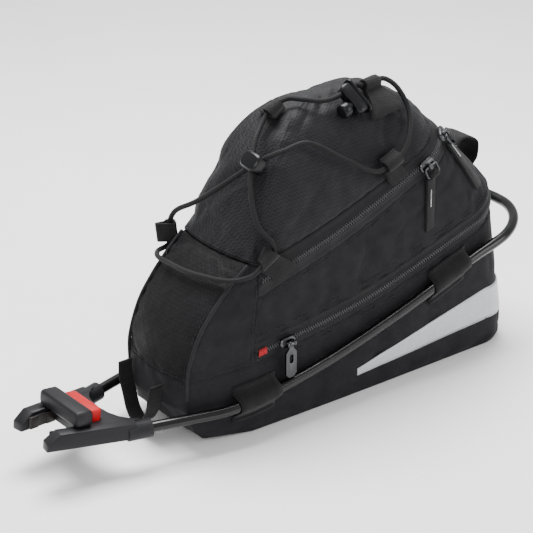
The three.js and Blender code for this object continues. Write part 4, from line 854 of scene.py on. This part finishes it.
lid_steps = np.array([
    0, 0.004, 0.01, 0.018, 0.03, 0.045, 0.065, 0.09, 0.12, 0.155, 0.19, 0.23, 0.27, 0.31, 0.36, 0.41,
    0.46, 0.52, 0.58, 0.65, 0.72, 0.8, 0.88, 0.95, 1.0,
])
lid_points = np.array([[lid_point(r, c) for c in all_columns] for r in lid_steps])
eased = lid_points[1:].copy()
for _ in range(48):
    eased = eased * 0.5 + 0.25 * (np.roll(eased, 1, axis=1) + np.roll(eased, -1, axis=1))
ease_in = np.clip(lid_steps[1:] / 0.03, 0, 1)[:, None, None]
lid_points[1:] = lid_points[1:] * (1 - ease_in) + eased * ease_in


def grid_normals(points, closed):
    up = np.gradient(points, axis=0)
    if closed:
        along = np.roll(points, -1, axis=1) - np.roll(points, 1, axis=1)
    else:
        along = np.gradient(points, axis=1)
    return unit(np.cross(along, up))


lid_normals = grid_normals(lid_points, True)
lid_edge = edge_distance(lid_points, True, top=False)


def lid_relief(point, edge_mm):
    """Sags and folds of the light lid cloth, inwards so that the cord lies on it."""
    p = Vector(point)
    broad = 0.5 - 0.9 * noise.noise(p / 42 + Vector((9.1, 2.2, 4.6)))
    folds = crease(point, 40, 2.0) + 0.7 * crease((point[0] * 0.6, point[1], point[2] * 1.5), 27, 4.0)
    free = 1 - math.exp(-(edge_mm / 12) ** 2)
    pucker = math.exp(-(edge_mm / 8) ** 2) * 0.35 * math.sin(p.x * 0.8 + p.y * 0.6 + 3 * noise.noise(p / 12))
    return -free * (1.3 * max(0, broad) + 1.3 * folds) + pucker + seam_drop(edge_mm)


cord_tree = kdtree.KDTree(len(cord_line))
for index, place in enumerate(cord_line):
    cord_tree.insert(place, index)
cord_tree.balance()


def pressed(point):
    """How far the cord draws the lid cloth in beside it."""
    return -2.3 * math.exp(-(max(0, cord_tree.find(point)[2] - 2.2) / 6.5) ** 2)


lid_outer = raised(lid_points, lid_normals, over_grid(lid_relief, lid_points, lid_edge))
lid_outer = settled(lid_outer, lid_normals, True, bridged=True, most_in=2.2, most_out=0.5)
under_cord = over_grid(pressed, lid_points) * np.clip(lid_edge / 4, 0, 1)
lid_outer = raised(lid_outer, lid_normals, under_cord)
lid = shell("lid_cloth", lid_outer, lid_points - lid_normals * (WALL + 3.2), closed=True, bridge=True)
lid_places = np.array([v.co for v in lid.data.vertices])
set_uvs(lid.data, np.stack([lid_places[:, 0], lid_places[:, 2] - 0.8 * np.abs(lid_places[:, 1])], axis=1))
finish_piece(lid, RIPSTOP, nodes=["lid_panel"])


# Stitching: short threads laid along a line on the cloth
STITCH_MARKS = np.array([0, 0.18, 0.5, 0.82, 1])
STITCH_RISE = np.array([-0.9, 0.35, 0.6, 0.35, -0.9])
STITCH_GIRTH = (0.45, 0.9, 1, 0.9, 0.45)
STITCH_SIDES = 5


def threads(name, runs, pitch=3.3, length=2.5, radius=0.27, sink=0.05):
    """runs is a list of (points, normals); each becomes a row of stitches."""
    vertices = []
    faces = []
    uvs = []
    for points, normals in runs:
        points = np.asarray(points, float)
        normals = np.asarray(normals, float)
        run = cumulative(points)
        for start in np.arange(pitch / 2, run[-1] - length, pitch):
            marks = start + length * STITCH_MARKS
            out = unit(at_length(normals, run, marks))
            line = at_length(points, run, marks) + out * (radius * STITCH_RISE - sink)[:, None]
            tangents = unit(np.gradient(line, axis=0))
            first = len(vertices)
            for p, t, o, mark, girth in zip(line, tangents, out, marks, STITCH_GIRTH):
                side = unit(np.cross(t, o))
                for s in range(STITCH_SIDES):
                    a = 2 * math.pi * s / STITCH_SIDES
                    spoke = math.cos(a) * side + math.sin(a) * np.cross(side, t)
                    vertices.append(p + radius * girth * spoke)
                    uvs.append((mark * MM, a * radius * MM))
            faces += grid_faces(len(STITCH_MARKS), STITCH_SIDES, True, first=first)
            faces.append(tuple(reversed(range(first, first + STITCH_SIDES))))
            faces.append(tuple(range(len(vertices) - STITCH_SIDES, len(vertices))))
    return outward(new_object(name, vertices, faces, uvs))


def laid(places, inset_mm, follow):
    """Points and normals on the cloth at (level, column) places; follow is how much of its relief counts."""
    found = [body_at(*place) for place in places]
    points = [p + n * (-0.28 + body_relief(p, abs(inset_mm)) * follow) for p, n in found]
    return points, [n for _, n in found]


def seam_run(level, low, high, inset_mm):
    """A line on the bag along a level, moved up the cloth by a distance."""
    below, above = max(0, level - 0.1), min(TOP, level + 0.1)
    places = []
    for column in np.arange(low, high + 1e-6, 0.25):
        rise = np.linalg.norm(girth_point(above, column) - girth_point(below, column)) / (above - below)
        places.append((min(TOP, max(0, level + inset_mm / rise)), column))
    return laid(places, inset_mm, 0.6)


def upright_run(column, inset_mm):
    """A line up the bag along a column, moved along the girth by a distance."""
    places = []
    for level in np.arange(3.1, 5.9 + 1e-6, 0.1):
        width = np.linalg.norm(girth_point(level, column + 0.25) - girth_point(level, column - 0.25)) / 0.5
        places.append((level, column + inset_mm / width))
    return laid(places, inset_mm, 0.5)


def lid_run(inset_mm):
    """A line round the lid that keeps a distance from its edge."""
    points = []
    outs = []
    for j in range(len(all_columns) + 1):
        k = j % len(all_columns)
        i = int(np.searchsorted(lid_edge[:, k], inset_mm))
        t = (inset_mm - lid_edge[i - 1, k]) / (lid_edge[i, k] - lid_edge[i - 1, k])
        points.append(lerp(lid_outer[i - 1, k], lid_outer[i, k], t))
        outs.append(lid_normals[i, k])
    return points, outs


SEAM_INSET = 3.2
ZIP_INSET = 2.4
panel_stitches = threads("panel_stitches", [
    seam_run(3, 0, COLUMNS, -SEAM_INSET),
    seam_run(4, *ROUND_REAR, SEAM_INSET),
    seam_run(5, *ROUND_REAR, -SEAM_INSET),
    seam_run(3, -PIPING_COLUMN, PIPING_COLUMN, SEAM_INSET),
    upright_run(SEAM_COLUMN, -SEAM_INSET),
    upright_run(-SEAM_COLUMN, SEAM_INSET),
    upright_run(PIPING_COLUMN, -SEAM_INSET),
    upright_run(-PIPING_COLUMN, SEAM_INSET),
    lid_run(SEAM_INSET),
])
finish_piece(panel_stitches, THREAD)
finish_piece(panel_stitches, THREAD)


# Zips: coated tape with a raised edge beside the coil, and the coil's teeth
def zip_tape(name, level, node):
    shares = np.r_[0, 0.02, 0.05, np.linspace(0.1, 0.9, 25), 0.95, 0.98, 1]
    points, normals = body_grid(level + shares, band_columns)
    height = np.array([
        smoothstep(s, 0.2, 0.4) * (1 - smoothstep(s, 0.6, 0.8)) - 1.1 * math.exp(-((s - 0.5) / 0.06) ** 2)
        for s in shares
    ])
    drop = -0.6 * np.exp(-(edge_distance(points, False) / 0.8) ** 2)
    outer = raised(points, normals, height[:, None] + drop + ripples(points, 17, 0.22))
    return finish_piece(shell(name, outer, points - normals * WALL), TAPE, nodes=[node])


TOOTH_PITCH = 2.1
TOOTH_MIDDLE = 0.825
TOOTH_OUTLINE = ((-0.48, -0.45), (0.48, -0.45), (0.62, 2.1), (-0.34, 2.1))
TOOTH_RINGS = ((0.0, 1.0), (0.95, 0.95), (1.3, 0.6))


def zip_teeth(name, level):
    """Two rows of small rounded teeth that meet along the middle of the tape."""
    columns = np.arange(SEAM_COLUMN + 0.05, COLUMNS - SEAM_COLUMN - 0.04, 0.1)
    line = [body_at(level + 0.5, float(c)) for c in columns]
    points = np.array([p for p, _ in line])
    outs = np.array([n for _, n in line])
    run = cumulative(points)
    vertices = []
    faces = []
    uvs = []
    for index, at in enumerate(np.arange(TOOTH_PITCH, run[-1] - TOOTH_PITCH, TOOTH_PITCH / 2)):
        p, ahead = at_length(points, run, [at, at + 0.5])
        n = unit(at_length(outs, run, at))
        t = unit(ahead - p)
        up = unit(np.cross(n, t)) * (1 if index % 2 else -1)
        first = len(vertices)
        for height, shrink in TOOTH_RINGS:
            for along, across in TOOTH_OUTLINE:
                a = TOOTH_MIDDLE + (across - TOOTH_MIDDLE) * shrink
                vertices.append(p + t * along * shrink + up * a + n * (0.25 + height))
                uvs.append((at * MM, a * MM))
        faces += grid_faces(len(TOOTH_RINGS), 4, True, first=first)
        faces.append(tuple(reversed(range(first, first + 4))))
        faces.append(tuple(range(len(vertices) - 4, len(vertices))))
    obj = outward(new_object(name, vertices, faces, uvs))
    return finish_piece(obj, COIL)


ZIP_LEVELS = {"lower_zip": 3, "upper_zip": 5}
zip_runs = []
for zip_name, level in ZIP_LEVELS.items():
    zip_tape(f"{zip_name}_cloth", level, zip_name)
    zip_runs += [seam_run(level, *ROUND_REAR, ZIP_INSET), seam_run(level + 1, *ROUND_REAR, -ZIP_INSET)]
for zip_name, level in ZIP_LEVELS.items():
    zip_teeth(f"{zip_name}_teeth", level)
zip_stitches = threads("zip_stitches", zip_runs, pitch=3.0, length=2.2, radius=0.22)
finish_piece(zip_stitches, THREAD)

# Pipings
for side_name, side in (("near", 1), ("far", -1)):
    line = []
    for level in (2.45, 2.7, 3, 3.5, 4, 4.5, 5, 5.5, 5.95):
        p, n = body_at(level, side * PIPING_COLUMN)
        line.append(p + n * 0.35)
    piping = tube(f"piping_cloth_{side_name}", evenly(catmull(line, 10), 1.6), 1.3, 12, wobble=0.12)
    finish_piece(piping, PIPING_CLOTH, nodes=[f"piping_{side_name}"])

# Reflective band: a wedge on each side that runs on round the rear
BAND_TIP, BAND_LEVEL = 150, 2.2
BAND_FOOT_HEIGHTS = (17, 25)
BAND_TOP_HEIGHTS = (23, 52)
BAND_THICKNESS = 0.9
band_start = column_at(BAND_TIP, BAND_LEVEL)
tip_x = girth_point(BAND_LEVEL, band_start)[0]
end_x = girth_point(BAND_LEVEL, CORNER_COLUMN)[0]


def band_at(up, column):
    """A point and its normal on the band, from its foot at 0 to its top at 1."""
    near = COLUMNS - column if column > REAR_COLUMN else column
    share = min(1, max(0, (girth_point(BAND_LEVEL, near)[0] - tip_x) / (end_x - tip_x)))
    height = lerp(lerp(*BAND_FOOT_HEIGHTS, share), lerp(*BAND_TOP_HEIGHTS, share), up)
    return body_at(level_at(height, column), column)


band = np.array([
    [band_at(up, column) for column in fine((band_start, COLUMNS - band_start), 0.2)]
    for up in np.linspace(0, 1, 9)
])
points, normals = band[:, :, 0], band[:, :, 1]
ripple = over_grid(lambda p: max(0, body_relief(p, 40)) * above_floor(p), points) + ripples(points, 9, 0.08)
lift = 0.95 + ripple * 0.8 - 0.25 * np.exp(-(edge_distance(points, False) / 0.5) ** 2)
walls = [raised(points, normals, wall_lift) for wall_lift in (lift, lift - BAND_THICKNESS)]
reflector = shell("reflective_film_band", *walls)
finish_piece(reflector, FILM, nodes=["reflective_band"])

# Rail
SOCKET_X, SOCKET_HEIGHT, RAIL_RISE, SOCKET_HALF, RAIL_HALF = -188, 30, 72, 34, 51
RAIL_RUN = 361.208
BEND_RADIUS = 45
RAIL_RADIUS = 4
# Columns: share of the run, share of the spread, share of the rise
RAIL_SHAPE = [
    (0, 0, 0), (0.078, 0.447, 0), (0.152, 0.82, -0.005), (0.222, 0.976, 0.02), (0.313, 1, 0.083),
    (0.418, 1, 0.18), (0.524, 1, 0.312), (0.634, 1, 0.472), (0.726, 1, 0.625), (0.831, 1, 0.8), (1, 1, 1),
]


def rail_at(distance, side):
    share = distance / RAIL_RUN
    spread = smooth([(row[0], row[1]) for row in RAIL_SHAPE], share)
    rise = smooth([(row[0], row[2]) for row in RAIL_SHAPE], share)
    half = lerp(SOCKET_HALF, RAIL_HALF, spread)
    bend = RAIL_RUN - BEND_RADIUS
    if distance > bend:
        turn = math.asin(min(1, (distance - bend) / BEND_RADIUS))
        half = RAIL_HALF - BEND_RADIUS * (1 - math.cos(turn))
    return np.array((SOCKET_X + distance, side * half, SOCKET_HEIGHT + RAIL_RISE * rise))


def rail_side(side):
    bend = RAIL_RUN - BEND_RADIUS
    start = rail_at(0, side)
    inward = unit(start - rail_at(2, side))
    round_bend = bend + BEND_RADIUS * np.sin(np.linspace(0, math.pi / 2, 7)[1:])
    distances = [*np.linspace(0, bend, 19), *round_bend]
    return [start + inward * 13, *[rail_at(d, side) for d in distances]]


rail_line = evenly(catmull([*rail_side(-1), *reversed(rail_side(1))], 8), 2.5)
rail = tube("rail_rod", rail_line, RAIL_RADIUS, 28)
finish_piece(rail, ROD, nodes=["rail"])


# Hard pieces and folded bands: the CAD solids with rounded edges
def rounded(node, name, flat, width, limit, sharp):
    """A copy of a node with flat faces merged and edges rounded; flat, limit and sharp are degrees."""
    obj = placed(name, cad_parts[node].data.copy())
    bm = bmesh.new()
    bm.from_mesh(obj.data)
    bmesh.ops.remove_doubles(bm, verts=bm.verts, dist=1e-6)
    bmesh.ops.dissolve_limit(bm, angle_limit=math.radians(flat), verts=bm.verts, edges=bm.edges)
    bmesh.ops.recalc_face_normals(bm, faces=bm.faces)
    bm.to_mesh(obj.data)
    bm.free()
    bevel = obj.modifiers.new("edge_rounding", "BEVEL")
    bevel.width = width * MM
    bevel.segments = 2
    bevel.limit_method = "ANGLE"
    bevel.angle_limit = math.radians(limit)
    mesh = bpy.data.meshes.new_from_object(obj.evaluated_get(bpy.context.evaluated_depsgraph_get()))
    obj.modifiers.clear()
    obj.data = mesh
    mesh.shade_smooth()
    mesh.set_sharp_from_angle(angle=math.radians(sharp))
    return obj


# Material, slot, and for each piece its node, its name and how far its edges are rounded
HARD = [
    (PLASTIC, "plastic", [("adapter_body", "adapter_moulding", 0.8), ("bridge_bar", "bridge_moulding", 0.6)]),
    (RED, "red_plastic", [("release_button", "release_key", 0.5)]),
    (RUBBER, "pad", [("inner_pad_near", "grip_pad_near", 0.25), ("inner_pad_far", "grip_pad_far", 0.25)]),
    (LOCK_PLASTIC, "plastic", [
        ("crossing_clip", "crossing_clip_moulding", 0.5), ("cord_lock_body", "lock_moulding", 0.4),
        ("cord_lock_button", "lock_key", 0.3),
    ]),
    (NICKEL, "metal", [
        ("lower_zip_slider", "lower_slider_casting", 0.25), ("lower_zip_pull", "lower_pull_casting", 0.35),
        ("upper_zip_slider_near", "upper_slider_near", 0.25),
        ("upper_zip_slider_far", "upper_slider_far", 0.25),
        ("pull_ring_near", "ring_near", 0.35), ("pull_ring_far", "ring_far", 0.35),
    ]),
]
MOVING = {"release_button": "release_button", "cord_lock_button": "lock_button", "lower_zip_pull": "zip_pull"}
for material, slot, pieces in HARD:
    for node, name, width in pieces:
        piece = rounded(node, name, 1.5, width, 32, 38)
        finish_piece(piece, material, MOVING.get(node, "bag"), [node])


# Webbing: bands along given lines, with rounded selvedges
WEBBING_THICKNESS = 1.4


def ribbon(name, lines, node):
    """lines is a list of polylines across the band, each with the same count of points."""
    smoothed = np.array([catmull(line, 5) for line in lines])
    shares = np.linspace(0, 1, 9)
    source = np.linspace(0, 1, len(lines))
    grid = np.stack([at_length(smoothed[:, i], source, shares) for i in range(smoothed.shape[1])], axis=1)
    normals = grid_normals(grid, False)
    round_off = (1 - 0.45 * np.abs(2 * shares - 1) ** 6)[:, None, None]
    wave = ripples(grid, 6, 0.1)[..., None]
    outer = grid + normals * (WEBBING_THICKNESS * round_off / 2 + wave)
    inner = grid - normals * (WEBBING_THICKNESS * round_off / 2 - wave)
    obj = shell(name, outer.transpose(1, 0, 2), inner.transpose(1, 0, 2))
    return finish_piece(obj, STRAP, nodes=[node])


def loop_line(distance, side):
    """One line of a rail loop: down the bag's side, round the rail and back to the side."""
    centre = rail_at(distance, side)

    def wall(height):
        p, n = wall_at(distance - 30, height)
        p = p + n * (2 * GAP + WEBBING_THICKNESS / 2)
        return np.array((p[0], abs(p[1]) * side, p[2]))

    reach = RAIL_RADIUS + GAP + WEBBING_THICKNESS / 2
    around = [
        centre + np.array((0, side * reach * math.cos(math.radians(a)), reach * math.sin(math.radians(a))))
        for a in np.linspace(60, -60, 7)
    ]
    top, upper, lower, foot = (wall(centre[2] + h) for h in (13, 9, -12, -16))
    return [top, upper, *around, lower, foot]


LOOP_WIDTH = 36
loop_runs = []
for place, distance in (("front", 84), ("rear", 269)):
    for side_name, side in (("near", -1), ("far", 1)):
        lines = [loop_line(distance + share * LOOP_WIDTH, side) for share in (-0.5, -0.25, 0, 0.25, 0.5)]
        ribbon(f"rail_webbing_{place}_{side_name}", lines, f"rail_loop_{place}_{side_name}")
        out = np.array((0, side, 0.0))
        for a, b in ((0, 1), (9, 10)):
            ends = [lerp(line[a], line[b], 0.5) + out * 0.75 for line in lines]
            points = evenly(catmull(ends, 4), 1.0)
            loop_runs.append((points, [out] * len(points)))
loop_stitches = threads("webbing_stitches", loop_runs, pitch=2.2, length=2.0, radius=0.3)
finish_piece(loop_stitches, THREAD)


def rear_wall(height, out):
    """A point at the middle of the rear, a distance out from the wall."""
    p, n = body_at(level_at(height, REAR_COLUMN), REAR_COLUMN)
    return p + n * out


light_line = [
    rear_wall(167, 1.0), rear_wall(162, 1.0), rear_wall(160, 9.35), rear_wall(155, 15.3), rear_wall(149, 17),
    rear_wall(146, 14.45), rear_wall(142, 7.65), rear_wall(141, 1.0), rear_wall(137, 1.0),
]
ribbon("light_webbing", [[p + np.array((0, y, 0)) for p in light_line] for y in (12, 0, -12)], "light_loop")

STRAP_LINE = [(30, 50), (30.5, 38), (29, 24), (23, 12), (14, 7), (5, 11), (-3, 22), (-9, 35), (-13, 47)]


def strap_face(y, z):
    """How far forward the front strap lies where it hangs before the bag's front."""
    column = y / (ROWS["lower_seam"][FRONT_HALF] * BAG_HALF) * -PIPING_COLUMN
    p, _ = body_at(level_at(z, 0), column)
    return p[0] - 3 * GAP


strap_back = [np.array((strap_face(y, max(z, 26)), y, z), float) for y, z in STRAP_LINE]
ribbon("front_webbing", [strap_back, [p + np.array((-12, 0, 0)) for p in strap_back]], "front_strap")


# Small folded tabs and puller tapes, with UVs laid flat on each one's two longest directions
def flat_axes(points):
    """The three directions of a set of points, from its longest to its thinnest."""
    return np.linalg.svd(points - points.mean(0), full_matrices=False)[2]


for node in ("tab_front_near", "tab_rear_near", "tab_mid_far", "rear_ribbon", "tab_front_far",
             "puller_tape_near", "puller_tape_far"):
    band_piece = rounded(node, f"{node}_webbing", 1.0, 0.35, 50, 60)
    places = np.array([v.co for v in band_piece.data.vertices])
    set_uvs(band_piece.data, (places - places.mean(0)) @ flat_axes(places)[:2].T)
    finish_piece(band_piece, STRAP, nodes=[node])


# Stitched details: a pale line on each puller tape and a red tack at the lower zip's start
def tape_mark(node, low, high):
    """A line along the outer face of a puller tape, between two shares of its length."""
    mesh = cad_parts[node].data
    points = np.array([v.co for v in mesh.vertices]) / MM
    centre = points.mean(0)
    axes = flat_axes(points)
    down = axes[0] * -np.sign(axes[0][2])
    out = -axes[2] if axes[2][1] > 0 else axes[2]
    along = (points - centre) @ down
    faces = [tuple(face.vertices) for face in mesh.polygons]
    surface = bvhtree.BVHTree.FromPolygons([Vector(p) for p in points], faces)
    line = []
    for share in np.linspace(low, high, 9):
        start = centre + down * lerp(along.min(), along.max(), share) + out * 12
        place = surface.ray_cast(Vector(start), Vector(-out))[0]
        if place is not None:
            line.append(np.array(place))
    return line, [out] * len(line)


marks = [tape_mark("puller_tape_near", 0.32, 0.62), tape_mark("puller_tape_far", 0.12, 0.42)]
mark_stitches = threads("puller_marks", marks, pitch=2.0, length=1.9, radius=0.5, sink=0.0)
finish_piece(mark_stitches, PALE_THREAD)
tack_runs = []
for number, column in enumerate(np.linspace(SEAM_COLUMN + 0.1, SEAM_COLUMN + 0.34, 9)):
    places = [body_at(level, column) for level in np.linspace(3.3 + 0.05 * (number % 2), 3.7, 7)]
    tack_runs.append(([p + n * 1.5 for p, n in places], [n for _, n in places]))
tack = threads("zip_tack", tack_runs, pitch=1.6, length=1.6, radius=0.5, sink=0.0)
finish_piece(tack, RED_THREAD)

# Stage: a pale floor and soft light
floor_mesh = bpy.data.meshes.new("studio_floor")
floor_mesh.from_pydata([(-4, -4, 0), (4, -4, 0), (4, 4, 0), (-4, 4, 0)], [], [(0, 1, 2, 3)])
floor = placed("studio_floor", floor_mesh)
floor.location = (0, 0, -0.0006)
paper = Nodes("studio_paper")
floor.data.materials.append(paper.surface(
    paper.mix(paper.patchy(3, 3, 0, 1), (0.86, 0.86, 0.86), (0.9, 0.9, 0.9)), paper.patchy(40, 3, 0.6, 0.75)
))

world = bpy.data.worlds.new("studio")
world.use_nodes = True
background = world.node_tree.nodes["Background"]
background.inputs["Color"].default_value = (1, 1, 1, 1)
background.inputs["Strength"].default_value = 0.8
bpy.context.scene.world = world


def area_light(name, place, aim, size, power):
    data = bpy.data.lights.new(name, "AREA")
    data.shape = "RECTANGLE"
    data.size, data.size_y = size
    data.energy = power
    obj = placed(name, data)
    obj.location = place
    obj.rotation_euler = (Vector(aim) - Vector(place)).to_track_quat("-Z", "Y").to_euler()


area_light("top_light", (0.05, 0.3, 1.2), (-0.02, 0, 0.12), (0.9, 0.7), 40)
area_light("front_light", (-1.0, -0.9, 0.75), (-0.05, 0, 0.1), (0.6, 0.6), 8)
area_light("side_light", (0.8, -1.1, 0.6), (0, 0, 0.1), (0.5, 0.9), 7)

bpy.context.view_layer.update()
